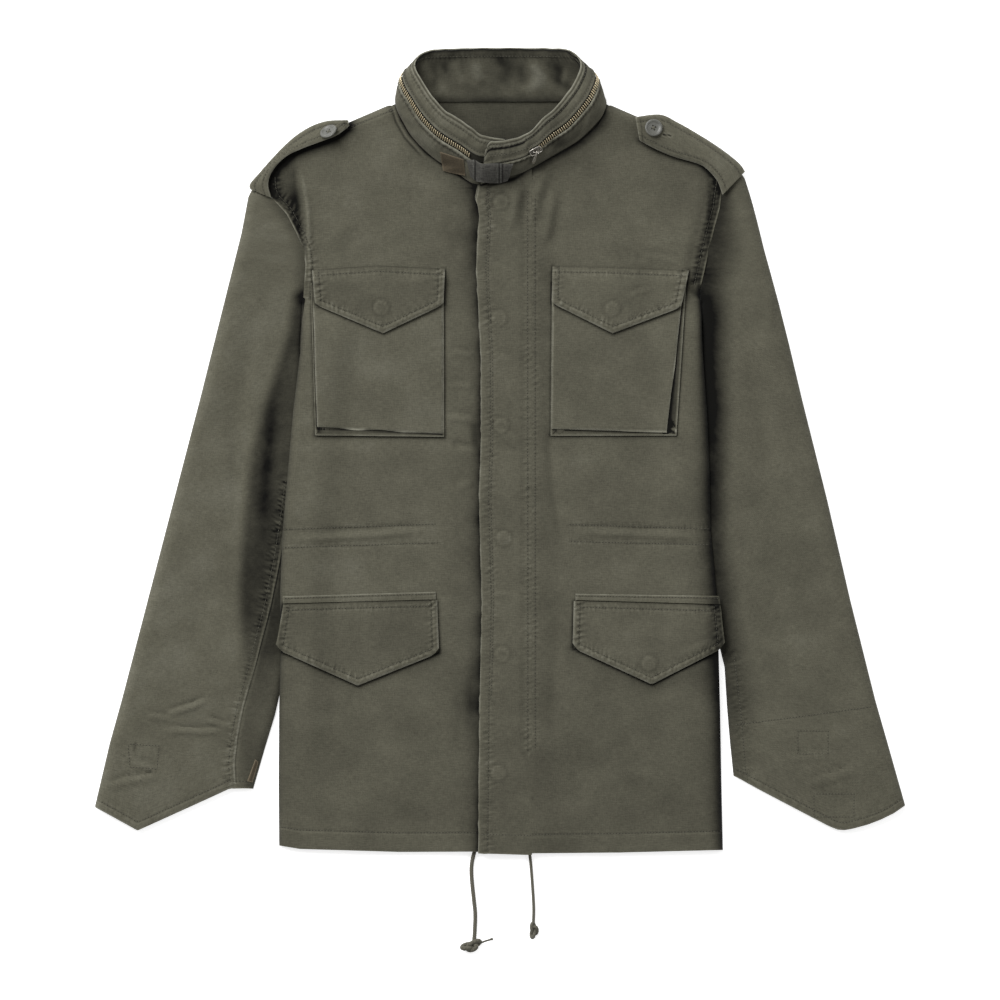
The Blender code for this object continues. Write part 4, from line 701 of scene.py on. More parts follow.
def build_back(finish):
    outlines = {side: SIDE[side] + ARMHOLE[side][1:] + SHOULDER[side][1:] for side in SIDES}
    levels = np.append(np.arange(BOTTOM, 349.0, 3 * GRAIN), 351.0)
    edges = {}
    for side in SIDES:
        edge = x_at(outlines[side], levels) - side * BACK_SEAM
        for _ in range(200):
            away = np.minimum(reach(plan(SIDE[side]), edge, levels)[0],
                              reach(plan(SHOULDER[side]), edge, levels)[0])
            edge = edge - side * np.where(away < UNDER_INSET, 0.1, 0.0)
        edges[side] = edge
    steps = between(edges[RIGHT], edges[LEFT], OUTER_STEPS, OUTER_STEPS, round(400 / (2 * GRAIN)))
    x = edges[RIGHT][:, None] + steps
    y = levels[:, None] + hem_shift(x, levels[:, None], BACK_HEM_SHORT)
    z = np.where(x < 0, lift(RIGHT, x, y), lift(LEFT, x, y)) + CLOTH
    hem = [(px, py + HEM_DEPTH) for py, px in HEM]
    sewn = Sewn(x, y, 60).seams([Seam(hem, 0.0, 4.0, True)])
    inside = ease((y - 280) / 30)
    # The back darkens towards its top, inside the collar: painted shade.
    sewn.tone -= inside * (0.3 + 0.35 * ease((330 - y) / 30))
    z = z + inside * (0.5 + 0.5 * ripple(x, y, 30, 61))
    cloth("back_cloth", "back", (x, y, z), sewn.marks(), finish, (0.45, 0.76))


def sleeve_grid(side, stations, shares):
    table = np.array(SLEEVE[side], float)
    rows = np.stack([np.interp(stations, np.arange(len(table)), table[:, k]) for k in range(4)], axis=1)
    outer, inner = rows[:, None, 0:2], rows[:, None, 2:4]
    spot = outer + (inner - outer) * shares[..., None]
    last = len(table) - 1
    fade = np.maximum(0.0, stations - (last - 1))
    xs, ys = np.array(CUFF[side], float).T
    drop = fade[:, None] * np.interp(shares, xs, ys)
    return spot[..., 0], spot[..., 1] - drop


def sleeve_levels(side):
    table = np.array(SLEEVE[side], float)
    middle = (table[:, 0:2] + table[:, 2:4]) / 2
    runs = run_along(middle)
    places = stepped(runs[-1], (runs[-1] - 7.0, runs[-1]), 3.0)
    return np.interp(places, runs, np.arange(len(table)))


def cuff_edge(side):
    shares = np.array([[share for share, _ in CUFF[side]]])
    x, y = sleeve_grid(side, np.array([len(SLEEVE[side]) - 1.0]), shares)
    return list(zip(x[0], y[0]))


SLEEVE_FELL = [(-208, -30), (-215, -80), (-219.5, -109), (-229, -155), (-244, -213), (-256.5, -257),
               (-262, -285), (-265, -312),
               (-264, -331)]
SLEEVE_SEAMS = {
    RIGHT: [Seam(beside(SLEEVE_FELL, -6.5), 0.95, 5.5, True, 0.8), Seam(SLEEVE_FELL, 0.12, 3.0, False, 1.8),
            Seam([(-372, -293), (-341, -295), (-343, -318), (-370, -316), (-372, -293)], 0.12, 3.0, True,
                 0.35)],
    LEFT: [Seam([(234, -205), (241, -262), (246, -325)], 0.5, 7.0, True, 0.6),
           Seam([(235, -274), (290, -267), (371, -256)], 0.12, 3.0, True, 0.45),
           Seam([(298, -280), (328, -280), (328, -303), (298, -303), (298, -280)], 0.15, 3.0, True, 0.35),
           Seam([(314, -343), (354, -343), (354, -366), (314, -366), (314, -343)], 0.1, 3.0, True, 0.3)],
}


def sleeve_seams(side):
    inward = beside(cuff_edge(side), 7.0 if side == RIGHT else -7.0)
    return SLEEVE_SEAMS[side] + [Seam(inward, 0.3, 5.0, True)]


def crowd(steps, rows, width):
    """Draws a sleeve's columns together along its felled seam."""
    spot = rows[:, 3]
    for _ in range(4):
        share = (x_at([(y, x) for x, y in reversed(SLEEVE_FELL)],
                      spot) - rows[:, 0]) / (rows[:, 2] - rows[:, 0])
        spot = rows[:, 1] + (rows[:, 3] - rows[:, 1]) * share
    away = steps - (share * width)[:, None]
    room = np.clip(width * (1 - share) - 1, 0.1, 16.0)[:, None]
    near = np.clip(np.abs(away) / room, 0.0, 1.0)
    strength = ease((-22 - spot) / 14)[:, None] * ease((room - 3) / 3)
    return steps + 0.7 * strength * np.sign(away) * room * near * (near ** 2 - 1)


def build_sleeve(side, finish):
    name = "sleeve_" + SIDE_NAME[side]
    stations = sleeve_levels(side)
    table = np.array(SLEEVE[side], float)
    rows = np.stack([np.interp(stations, np.arange(len(table)), table[:, k]) for k in range(4)], axis=1)
    width = np.hypot(rows[:, 2] - rows[:, 0], rows[:, 3] - rows[:, 1])
    steps = between(np.zeros(len(width)), width, OUTER_STEPS, OUTER_STEPS, round(110 / GRAIN))
    armpit = 2.6 * ease((rows[:, 3] - 82) / 14) * ease((215 - rows[:, 3]) / 25)
    if side == RIGHT:
        steps = crowd(steps, rows, width)
    shares = steps / width[:, None] * (1 + (armpit - 0.15) / width)[:, None]
    x, y = sleeve_grid(side, stations, shares)
    sewn = Sewn(x, y, 130 + side).seams(sleeve_seams(side)).edge(cuff_edge(side), light=0.7, puff=0.3)
    if side == RIGHT:
        away, _, hand = reach(SLEEVE_FELL, x, y)
        # A light line along the felled seam, a painted highlight, and painted shade on the sleeve beyond the
        # seam.
        sewn.tone += 0.75 * bell(away * hand + 1.3, 0.7) - 0.16 * (hand > 0) * bell(away, 30)
        sewn.height += 0.35 * bell(away * hand + 3.2, 2.4)
        sewn.tone -= 0.8 * bell(reach([(-365, -293), (-366.5, -299)], x, y)[0], 0.8)
    else:
        sewn.tone -= 0.8 * bell(reach([(296, -286), (296, -292)], x, y)[0], 0.8)
    armhole = reach(plan(ARMHOLE[side]), x, y)[0]
    hidden = reach(SLEEVE_HIDDEN[side], x, y)[0]
    body = reach(plan(SIDE[side]), x, y)[0]
    outer = reach(SLEEVE_OUTER[side], x, y)[0]
    # A dark band on the sleeve beside the body's edge and along the armhole: painted shadow of the body,
    # taken off the tone below.
    if side == RIGHT:
        depth = x_at([(-235, 0.25), (-200, 0.5), (-165, 0.66), (-99, 0.8), (1, 0.63), (121, 0.8),
                      (185, 0.7)], y)
        width = x_at([(-235, 36), (-169, 40), (-99, 40), (1, 38), (60, 26), (121, 13), (200, 8)], y)
        band = depth * (1 - ease((body - width + 7) / 14)) * ease((200 - y) / 30)
        band = band + 0.35 * bell(body - 21, 7.5) * bell(y + 5, 70.0)
        band = band + 0.4 * bell(armhole, 7.0)
        # Lighter towards the sleeve's outer edge: painted light.
        sewn.tone += 0.12 * np.exp(-outer / 45.0) - 0.02
    else:
        width = x_at([(-330, 34), (-249, 48), (-169, 30), (-99, 22), (1, 26), (60, 31), (121, 35), (160, 34),
                      (200, 40),
                      (231, 24), (275, 8)], y)
        depth = x_at([(-330, 0.35), (-249, 0.55), (-169, 0.78), (-99, 0.68), (1, 1.0), (121, 1.12),
                      (150, 1.0),
                      (175, 0.85), (200, 0.8), (240, 0.76), (260, 0.6)], y)
        band = depth * (1 - ease((np.where(y > 163, armhole, body) - width * 0.1) / (width * 0.95)))
        sewn.tone -= 0.08
    sewn.tone -= band
    z = sleeve_height(side, x, y) + sewn.height * ease(hidden / 30.0)
    along = np.broadcast_to(np.interp(stations, np.arange(len(table)),
                                      -50.0 * np.arange(len(table)))[:, None], x.shape)
    cloth(name + "_upper_cloth", name + "_upper", (x, y, z), sewn.marks(steps * -side, along), finish,
          (0.175, 0.68))
    sew(name + "_upper_cloth", sleeve_seams(side))

    coarse = stations[(stations >= 1.0)][::2]
    if coarse[-1] < len(table) - 1:
        coarse = np.append(coarse, len(table) - 1.0)
    rows = np.stack([np.interp(coarse, np.arange(len(table)), table[:, k]) for k in range(4)], axis=1)
    width = np.hypot(rows[:, 2] - rows[:, 0], rows[:, 3] - rows[:, 1])
    under = np.where(coarse > 6.7, UNDER_INSET + 0.5, 1.4)
    inset = np.minimum(UNDER_INSET + 0.5, width * 0.3) / width
    cells = np.linspace(0.0, 1.0, round(110 / (2 * GRAIN)))[None, :]
    shares = inset[:, None] + (1.0 - inset[:, None] - (under / width)[:, None]) * cells
    x, y = sleeve_grid(side, coarse, shares)
    sewn = Sewn(x, y, 150 + side)
    cloth(name + "_under_cloth", name + "_under", (x, y, np.full(x.shape, CLOTH)), sewn.marks(), finish,
          (0.17, 0.68))


# The collar

def collar_section(station):
    table = np.array(COLLAR, float)
    last = len(table) - 1
    station = np.clip(np.asarray(station, float), 0.0, last)
    index = np.minimum(station.astype(int), last - 1)
    part = (station - index)[..., None]
    before, here, there, after = (table[np.clip(index + step, 0, last)] for step in (-1, 0, 1, 2))
    return 0.5 * (2 * here + (there - before) * part + (2 * before - 5 * here + 4 * there - after) * part ** 2
                  + (3 * here - before - 3 * there + after) * part ** 3)


def unit(vectors):
    return vectors / np.maximum(np.linalg.norm(vectors, axis=-1, keepdims=True), 1e-9)


def collar_skin(station, share):
    row = collar_section(station)
    turn = collar_section(np.asarray(station) + 0.25) - collar_section(np.asarray(station) - 0.25)
    share = np.asarray(share, float)[..., None]
    rise = row[..., 3:6] - row[..., 0:3]
    tangent = turn[..., 0:3] * (1 - share) + turn[..., 3:6] * share
    outward = unit(np.cross(rise, tangent))
    return row[..., 0:3] + rise * share + outward * (row[..., 6:7] * 4.0 * share * (1.0 - share))


def collar_normal(station, share):
    step = 0.05
    low = np.clip(station, step, len(COLLAR) - 1 - step)
    middle = np.clip(share, step, 1.0 - step)
    along = collar_skin(low + step, share) - collar_skin(low - step, share)
    rise = collar_skin(station, middle + step) - collar_skin(station, middle - step)
    return unit(np.cross(rise, along))


def collar_point(station, share, out=0.0):
    station, share = np.broadcast_arrays(np.asarray(station, float), np.asarray(share, float))
    return collar_skin(station, share) + collar_normal(station, share) * np.asarray(out, float)[..., None]


def collar_runs():
    """Length along the collar at each fine station, halfway up."""
    stations = np.linspace(0, len(COLLAR) - 1, 881)
    points = collar_skin(stations, np.full(stations.shape, 0.5))
    return stations, np.concatenate([[0.0], np.cumsum(np.linalg.norm(np.diff(points, axis=0), axis=1))])


STATIONS, COLLAR_RUNS = collar_runs()
COLLAR_HEIGHT = 50.0


def collar_band(name, node, low, high, out, wall, finish, seams=(), light=(0.0, 0.0), wave=0.5, seed=70,
                inward=False, flat=(0.03, 0.55), slot="olive_sateen", rounded=0.0):
    """Part of the collar between two shares of its height; seams are shares with puckers along them."""
    length, height = COLLAR_RUNS[-1], (high - low) * COLLAR_HEIGHT
    places = np.append(np.arange(0.0, length, GRAIN * 0.62)[:-1], length)
    stations = np.interp(places, COLLAR_RUNS, STATIONS)
    lines = [Seam([(0, (share - low) * COLLAR_HEIGHT), (length, (share - low) * COLLAR_HEIGHT)], pucker, 4.2,
                  True)
             for share, pucker in seams]
    run, up = np.meshgrid(places, stepped(height, [line.path[0][1] for line in lines] + [0.0, height],
                                          1.6 if inward else 4.5))
    sewn = Sewn(run, up, seed).seams(lines)
    ends = [(0.0, 0.6), (length, 0.6)] if wave else []
    for path, strength in ([([(0, 0), (length, 0)], light[0]), ([(0, height), (length, height)], light[1])]
                           + [([(end, 0), (end, height)], strength) for end, strength in ends]):
        if strength:
            sewn.edge(path, light=strength, fold=0.45, puff=0.2, breadth=4.5)
    drag = ripple(run + 1.1 * up, up * 0.5, 11, seed + 4)
    bulge = (wave * (ripple(run, up * 1.3, 17,
                            seed) + 0.5 * ripple(run, up, 7, seed + 1) + 1.2 * drag) + sewn.height)
    # The tone follows the drag folds: painted light and shade.
    sewn.tone = sewn.tone + 0.25 * wave * drag
    if rounded and not inward:
        # A dark line under the top edge with a light line below it, and a dark groove lower down: painted
        # shade and a painted highlight between the collar's layers.
        groove = np.abs(up - (0.86 - low) * COLLAR_HEIGHT)
        sewn.tone = sewn.tone - 0.6 * bell(height - up - 2.5, 0.7) + 0.5 * bell(height - up - 4.1, 0.8)
        sewn.tone = sewn.tone - 1.0 * bell(groove, 1.3) * ease((run - 0.45 * length) / 40)
    for edge, strength in ((0.0, light[0]), (height, light[1])):
        lip = np.abs(up - edge)
        if strength and wave and not inward and 0.3 < (edge / COLLAR_HEIGHT + low) < 0.7:
            bulge = bulge + 1.1 * bell(lip - 1.6, 1.8)
            # A dark line below the zip's lip: painted shade.
            sewn.tone = sewn.tone - 0.35 * bell(lip - 5.0, 1.3)
    if inward:
        middle = collar_point(np.broadcast_to(stations, run.shape), low + up / COLLAR_HEIGHT, out)
        fold = creased(middle[..., 0], middle[..., 1], COLLAR_CREASES)
        fold = fold + 0.8 * ripple(run + 0.55 * up, up * 0.45, 15, seed + 2)
        fold = fold * ease((up - 2) / 10) * ease((height - up) / 10)
        bulge = np.maximum(bulge + fold + 0.6, -0.3)
        # Inside the collar the tone follows the folds and darkens at the foot and under the top edge, with a
        # light rim at the top: painted light and shade.
        sewn.tone = sewn.tone + 0.3 * fold - 0.19 - 0.5 * bell(up, 4.0)
        sewn.tone = sewn.tone - 0.3 * bell(height - up, 9) - 0.9 * bell(height - up, 0.8)
        sewn.tone = sewn.tone + 1.3 * bell(height - up - 2.0, 0.8)
    if rounded:
        up = up - (0.5 + 0.5 * ripple(run, 0 * run, 9, 77)) * ease((up / height - 0.5) / 0.5) * ease(run / 20)
        into = np.clip(1.0 - (length - run) / rounded, 0.0, 1.0)
        up = up * (1.0 - rounded / height * (1.0 - np.sqrt(1.0 - into ** 2)))
    calm = ease((low * COLLAR_HEIGHT + up) / 5.0)
    station = np.broadcast_to(stations, run.shape)
    share = low + up / COLLAR_HEIGHT
    if rounded and not inward:
        share = share - 0.118 * ease((station - CHAIN_TO - 0.15) / 0.25) * (1 - up / height)
    points = collar_point(station, share, out + (-1.0 if inward else 1.0) * bulge * calm)
    x, y, z = np.moveaxis(points, -1, 0)
    if not inward:
        # A painted shadow patch under the zip.
        sewn.tone = sewn.tone - 0.5 * np.exp(-(((x - 55) / 12) ** 2 + ((y - 309) / 6) ** 2) ** 2)
    marks = sewn.marks()
    for share, _ in seams:
        row = collar_point(STATIONS[::4], share, out)
        STITCHED.append((name, [tuple(point[:2]) for point in row]))
    return cloth(name, node, (x, y, np.maximum(z, 0.3)), marks, finish, flat,
                 wall=wall, turned=True)


COLLAR_CREASES = [
    Crease([(-70, 393), (-64, 373), (-69, 356)], 5, -1.6, 0), Crease([(-57, 391), (-53, 376)], 3.5, -1.2, 0),
    Crease([(-8, 399), (8, 383), (2, 363)], 6, -1.4, 0),
    Crease([(48, 393), (60, 381), (56, 361)], 5.5, -1.4, 0),
    Crease([(-30, 396), (-20, 371), (-24, 351)], 7, 1.5, 0),
    Crease([(30, 396), (40, 376), (28, 353)], 7, 1.7, 0),
    Crease([(-47, 395), (-38, 361)], 6, 1.2, 0), Crease([(-15, 372), (-28, 355)], 5, -1.2, 0),
    Crease([(20, 390), (22, 362)], 5, -1.0, 0), Crease([(66, 385), (64, 366)], 4, 1.4, 0),
]


def build_collar(finish, lining):
    gap = 0.012
    collar_band("collar_lower_cloth", "collar_lower", 0.004, ZIP_BAND[0] - gap, 0.0, CLOTH, finish,
                seams=[(0.385, 0.4)], light=(0.0, 1.1), flat=(0.0245, 0.56))
    collar_band("collar_upper_cloth", "collar_upper", ZIP_BAND[1] + gap, 1.0, 0.0, CLOTH, finish,
                seams=[(0.665, 0.15), (0.86, 0.35)], light=(1.1, 1.6), seed=80,
                flat=(0.0215, 0.54), rounded=9.0)
    collar_band("collar_inner_cloth", "collar_inner", 0.01, 0.995, -COLLAR_OUTER - LAY_CLEAR, 1.0, lining,
                seams=[(0.84, 0.4)], light=(0.0, 0.0), wave=0.8, seed=90, flat=(0.052, 0.53),
                inward=True, rounded=9.0)


def build_hood_zip(tape, brass):
    collar_band("hood_zip_tape", "hood_zip", *ZIP_BAND, -TAPE_SINK - 0.5, 0.9, tape, wave=0.0, seed=95,
                         flat=(0.0101, 0.56), slot="zip_tape")
    deselect()
    bpy.ops.mesh.primitive_cube_add(size=1.0)
    tooth = bpy.context.object
    tooth.name = "zip_tooth"
    tooth.scale = (1.1 * MM, 4.6 * MM, 1.2 * MM)
    bpy.ops.object.transform_apply(location=False, rotation=False, scale=True)
    bpy.ops.object.mode_set(mode="EDIT")
    bpy.ops.mesh.select_all(action="SELECT")
    bpy.ops.mesh.bevel(offset=0.3 * MM, segments=1)
    bpy.ops.object.mode_set(mode="OBJECT")
    corners = np.array([vert.co for vert in tooth.data.vertices])
    faces = [tuple(polygon.vertices) for polygon in tooth.data.polygons]
    bpy.data.objects.remove(tooth, do_unlink=True)
    first, last = (np.interp(station, STATIONS, COLLAR_RUNS) for station in (CHAIN_FROM, CHAIN_TO))
    places = np.arange(first, last - 4.0, 2.4)
    stations = np.interp(places, COLLAR_RUNS, STATIONS)
    across = np.where(np.arange(len(places)) % 2 == 0, -1.0, 1.0)
    share = ZIP_CHAIN + across * 0.12 / COLLAR_HEIGHT
    centre = collar_point(stations, share, 0.55 * np.ones(len(places)))
    out = collar_normal(stations, share)
    up = unit(collar_skin(stations, share + 0.04) - collar_skin(stations, share - 0.04))
    along = unit(np.cross(up, out))
    up = np.cross(out, along)
    points = (centre[:, None, :] * MM + corners[None, :, 0:1] * along[:, None, :]
              + corners[None, :, 1:2] * up[:, None, :] + corners[None, :, 2:3] * out[:, None, :])
    copied("zip_teeth", points, faces, brass)


def copied(name, points, faces, finish, body="jacket"):
    """One mesh from many copies of a modelled shape, given the points of each copy."""
    count, size = points.shape[:2]
    mesh = bpy.data.meshes.new(name)
    all_faces = [tuple(index + size * copy for index in face) for copy in range(count) for face in faces]
    mesh.from_pydata(points.reshape(-1, 3).tolist(), [], all_faces)
    mesh.update()
    obj = bpy.data.objects.new(name, mesh)
    bpy.context.scene.collection.objects.link(obj)
    deselect()
    obj.select_set(True)
    bpy.context.view_layer.objects.active = obj
    bpy.ops.object.mode_set(mode="EDIT")
    bpy.ops.mesh.select_all(action="SELECT")
    bpy.ops.mesh.normals_make_consistent(inside=False)
    bpy.ops.object.mode_set(mode="OBJECT")
    return finish_piece(obj, finish, body)


# Pieces laid on the fronts

def quad(face, across, down):
    corners = [np.array(corner, float) for corner in face]
    across, down = across[..., None], down[..., None]
    top = corners[0] * (1 - across) + corners[1] * across
    low = corners[3] * (1 - across) + corners[2] * across
    spot = top * (1 - down) + low * down
    return spot[..., 0], spot[..., 1]


def build_chest_pocket(side, finish):
    name = "chest_{}_" + SIDE_NAME[side]
    face, whole = CHEST_FACE[side], CHEST_GUSSET[side]
    across, down = np.meshgrid(stepped(130, (0, 130), 3.0) / 130, stepped(148, (148,), 3.0)[::-1] / 148)
    x, y = quad(face, across, down)
    y = y - 1.3 * ease((down - 0.9) / 0.1) * ripple(across * 131, 0 * down, 24, 8 + side)
    x = x + 0.8 * ease((0.1 - across) / 0.1) * ripple(down * 148, 0 * down, 30, 11 + side)
    path = [face.top_outer, face.low_outer, face.low_inner, face.top_inner]
    rows = [Seam(beside([face.low_inner, face.top_inner], side * 3.2), 0.45, 4.0, True),
            Seam(beside([face.top_outer, face.low_outer], side * 3.2), 0.3, 4.0, False),
            Seam(beside([face.low_outer, face.low_inner], side * 3.4), 0.2, 4.0, False)]
    sewn = Sewn(x, y, 170 + side).seams(rows[:1] + rows[2:]).edge(path, light=0.95, fold=0.9, puff=0.25)
    # Painted shadows under the flap and down the top outer corner.
    sewn.shade(flap_outline(CHEST_FLAP[side]), 0.6, 2.2)
    sewn.tone -= {RIGHT: 0.0, LEFT: 0.05}[side]
    sewn.shade([face.top_outer, (face.top_outer[0], face.top_outer[1] - 14)], 0.3, 3)
    soft = 0.5 * ripple(x, y, 34, 171 + side) + 0.2 * ripple(x, y, 12, 172)
    crown = POCKET_CROWN * np.sin(np.pi * across) * np.sin(np.pi * down)
    z = front_level(side, x, y) + 2 * LAY_CLEAR + GUSSET_WALL + FACE_WALL + crown + 0.6 * soft + sewn.height
    cloth(name.format("face") + "_cloth", name.format("face"), (x, y, z), sewn.marks(), finish, (0.131, 0.15))
    sew(name.format("face") + "_cloth", rows[:1])
    corners = [np.array(corner, float) for corner in (whole.top_outer, whole.low_outer, whole.low_inner,
                                                      whole.top_inner)]
    path = []
    for start, end in zip(corners, corners[1:]):
        for share in np.linspace(0.0, 1.0, max(2, round(np.hypot(*(end - start)) / GRAIN)))[:-1]:
            path.append(start + (end - start) * share)
    path.append(corners[-1])
    path = np.array(path)
    steps = np.array([0.0, 0.5, 1.2, 2.4, 4.0, 6.0, 9.0, GUSSET_BREADTH])
    first = int(np.argmin(np.hypot(*(path - corners[1]).T)))
    last = int(np.argmin(np.hypot(*(path - corners[2]).T)))
    index = np.arange(len(path))
    x = np.repeat(path[None, :, 0], len(steps), axis=0)
    y = np.repeat(path[None, :, 1], len(steps), axis=0)
    x = (x - side * steps[:, None] * (index <= first)[None,
                                                      :] + side * steps[:, None] * (index >= last)[None, :])
    y = y + steps[:, None] * ((index >= first) & (index <= last))[None, :]
    sewn = Sewn(x, y, 180 + side).edge([tuple(corner) for corner in corners], light=0.7, fold=0.5)
    # The gusset is darkened, most in its outer wedge: painted shade; the folded corner gets a painted
    # highlight and shade.
    outer = ease((first + 4 - index) / 3.0)[None, :] * ease((steps - 0.8) / 1.6)[:, None]
    if side == LEFT:
        sewn.tone -= 0.75 * outer * ease((120 - y) / 90) * (0.25 + 0.75 * ease((steps - 3) / 7))[:, None]
        folded = reach([(167, 31), (171, 25), (176, 20)], x, y)[0]
        sewn.tone += 1.1 * bell(folded, 0.9) - 0.5 * bell(folded - 2.6, 1.2)
    sewn.tone -= {RIGHT: 0.45, LEFT: 0.2}[side] * outer + 0.3 * ease((steps - 0.8) / 1.6)[:, None]
    # A painted shadow under the face's edge.
    sewn.shade([face.top_outer, face.low_outer, face.low_inner], 0.8, 1.4)
    z = front_level(side, x, y) + LAY_CLEAR + GUSSET_WALL + sewn.height * 0.6
    flip = side == RIGHT
    cloth(name.format("gusset") + "_cloth", name.format("gusset"), (x, y, z), sewn.marks(), finish,
          (0.42, 0.014),
          wall=1.0, turned=flip)


def flap_outline(flap):
    return [flap.top[0], flap.low[0], flap.low[1], flap.low[2], flap.top[-1]]


def flap_grid(flap, width, depth):
    across, down = np.meshgrid(stepped(width, (0, 6, width - 6, width), 2.6) / width,
                               stepped(depth, (0, 6, depth - 6, depth), 2.6)[::-1] / depth)
    shares = (0.0, flap.tip_share, 1.0)
    top, low = (np.stack([np.interp(across, shares, [point[axis] for point in edge]) for axis in (0, 1)],
                         axis=-1)
                for edge in (flap.top, flap.low))
    spot = top * (1 - down[..., None]) + low * down[..., None]
    return across, down, spot[..., 0], spot[..., 1]


def flap_seams(side, flap):
    inset = beside(flap_outline(flap), 6.4 if side == RIGHT else -6.4)
    top = beside(flap.top, -6.0 if side == RIGHT else 6.0)
    return [Seam(inset, 0.75, 4.2, True), Seam([tuple(point) for point in top], 0.45, 4.0, True)]


FLAP_CREASES = {
    ("chest", RIGHT): [Crease([(-72, 152), (-62, 150), (-57, 143)], 3, 0.8, 0.6),
                       Crease([(-180, 160), (-150, 150)], 6, 0.4, 0)],
    ("chest", LEFT): [Crease([(124, 152), (157, 165)], 3.2, 0.7, 0.7),
                      Crease([(60, 165), (100, 160)], 5, 0.4, 0)],
    ("lower", RIGHT): [Crease([(-130, -160), (-132, -185)], 3, 0.6, 0.6),
                       Crease([(-110, -160), (-113, -180)], 3, 0.5, 0.6),
                       Crease([(-85, -190), (-75, -205)], 6, -0.6, 0),
                       Crease([(-150, -162), (-152, -180)], 3, 0.4, 0.6)],
    ("lower", LEFT): [Crease([(174, -207), (220, -189)], 4, 0.8, 0.7),
                      Crease([(196, -156), (198, -174)], 2.4, 0.7, 0.7),
                      Crease([(206, -156), (210, -172)], 2.4, 0.6, 0.7),
                      Crease([(120, -160), (118, -180)], 3, 0.4, 0.6)],
}


def build_flap(kind, side, flap, swell, snap, finish):
    name = f"{kind}_flap_{SIDE_NAME[side]}"
    across, down, x, y = flap_grid(flap, 134 if kind == "chest" else 160, 64 if kind == "chest" else 85)
    corner = np.maximum(1 - across * 18, 0.0) ** 2 + np.maximum(1 - (1 - across) * 18, 0.0) ** 2
    y = y + (1.8 if kind == "chest" else 5.0) * corner * down ** 6
    seed = 190 + 3 * side + (20 if kind == "lower" else 0)
    seams = flap_seams(side, flap)
    outline = flap_outline(flap)

    def shape(px, py, share_down, share_across):
        sewn = Sewn(px, py, seed).seams(seams).edge(outline, light=1.1, fold=0.7, puff=0.6)
        rim, run, _ = reach(outline, px, py)
        hem = ease(rim / 1.5) * ease((6.6 - rim) / 1.2)
        drawn = ruck(run, rim, seed + 9, 6.4) + 0.6 * ripple(run, rim, 3.5, seed + 8)
        sewn.height += 0.3 * hem * drawn
        # The stitched band is lighter, and its tone follows the rucks: painted light and shade.
        sewn.tone += hem * (0.12 + 0.14 * drawn) - {RIGHT: 0.14, LEFT: 0.09}[side]
        if kind == "lower":
            sewn.tone -= edge_shade(side, px, py)
        if snap:
            sewn.bump(snap)
        out = LAY_CLEAR + FLAP_WALL + swell * ease(share_down / 0.3)
        crown = POCKET_CROWN * np.sin(np.pi * share_across) * np.sin(np.pi * np.minimum(share_down, 0.8))
        soft = 0.45 * ripple(px, py, 26, seed + 1) + 0.22 * ripple(px, py, 11, seed + 2)
        soft = soft + creased(px, py, FLAP_CREASES[kind, side])
        return sewn, laid_level(side, px,
                                py) + out + crown + soft * np.minimum(share_down * 3, 1.0) + sewn.height

    sewn, z = shape(x, y, down, across)
    # Painted shade along the flap's sewn top edge.
    low = bell(down * 64, 1.4)
    sewn.tone -= 0.3 * low
    cloth(name + "_cloth", name, (x, y, z), sewn.marks(), finish,
          (0.135 if kind == "chest" else 0.158, 0.069 if kind == "chest" else 0.086))
    sew(name + "_cloth", seams)


def build_welt(side, finish):
    welt = LOWER_WELT[side]
    across, down = np.meshgrid(stepped(154, (0, 154), 3.0) / 154,
                               stepped(7.5, (0, 3, 6, 7.5), 3.0)[::-1] / 7.5)
    x, y = quad(welt, across, down)
    path = [welt.low_outer, welt.top_outer, welt.top_inner, welt.low_inner]
    row = beside([welt.top_outer, welt.top_inner], -2.2 if side == RIGHT else 2.2)
    seams = [Seam(row, 0.2, 3.0, True)]
    sewn = Sewn(x, y, 230 + side).edge(path, light=0.6, fold=0.5, puff=0.3, breadth=4).seams(seams)
    sewn.tone -= edge_shade(side, x, y)
    z = laid_level(side, x, y) + LAY_CLEAR + WELT_WALL + sewn.height
    name = f"lower_welt_{SIDE_NAME[side]}"
    cloth(name + "_cloth", name, (x, y, z), sewn.marks(), finish, (0.154, 0.0101),
          wall=1.0)
    sew(name + "_cloth", seams)


# The storm flap

def collar_seam_y(x):
    rows = sorted((row[0], row[1]) for row in COLLAR[-5:])
    return np.interp(x, [row[0] for row in rows], [row[1] for row in rows])


STORM_EDGE = [(x, y) for y, x in STORM_FREE]
STORM_SEAMS = [Seam([(x + 9.6, y) for y, x in STORM_FREE], 0.6, 7.0, True, 0.8),
               Seam([(x + 12.0, y) for y, x in STORM_FREE[1:]], 0.0, 3.0, True, 0.5),
               Seam([(27.6, 262), (27.8, -302)], 0.55, 5.0, True, 0.4),
               Seam([(-22, -383.5), (31.5, -384.5)], 0.2, 4.0, True, 0.6)]
STORM_CREASES = [Crease([(17, 268), (14, 240), (9, 218)], 5.5, 1.3, 0.5),
                 Crease([(27, 268), (22, 240), (15, 212)], 6, -1.3, 0),
                 Crease([(-18, 262), (-12, 236)], 4, 1.0, 0.7), Crease([(-12, 232), (4, 214)], 4, 0.7, 0.7),
                 Crease([(-4, 22), (20, 10)], 3.5, 0.7, 0.8), Crease([(-6, 4), (18, -6)], 4, 0.6, 0.8),
                 Crease([(-8, 96), (18, 90)], 3.5, 0.5, 0.7), Crease([(-8, -140), (18, -146)], 3.5, 0.6, 0.7),
                 Crease([(-8, -84), (20, -92)], 3.5, 0.6, 0.7),
                 Crease([(-6, -208), (20, -214)], 3.5, 0.5, 0.7)]


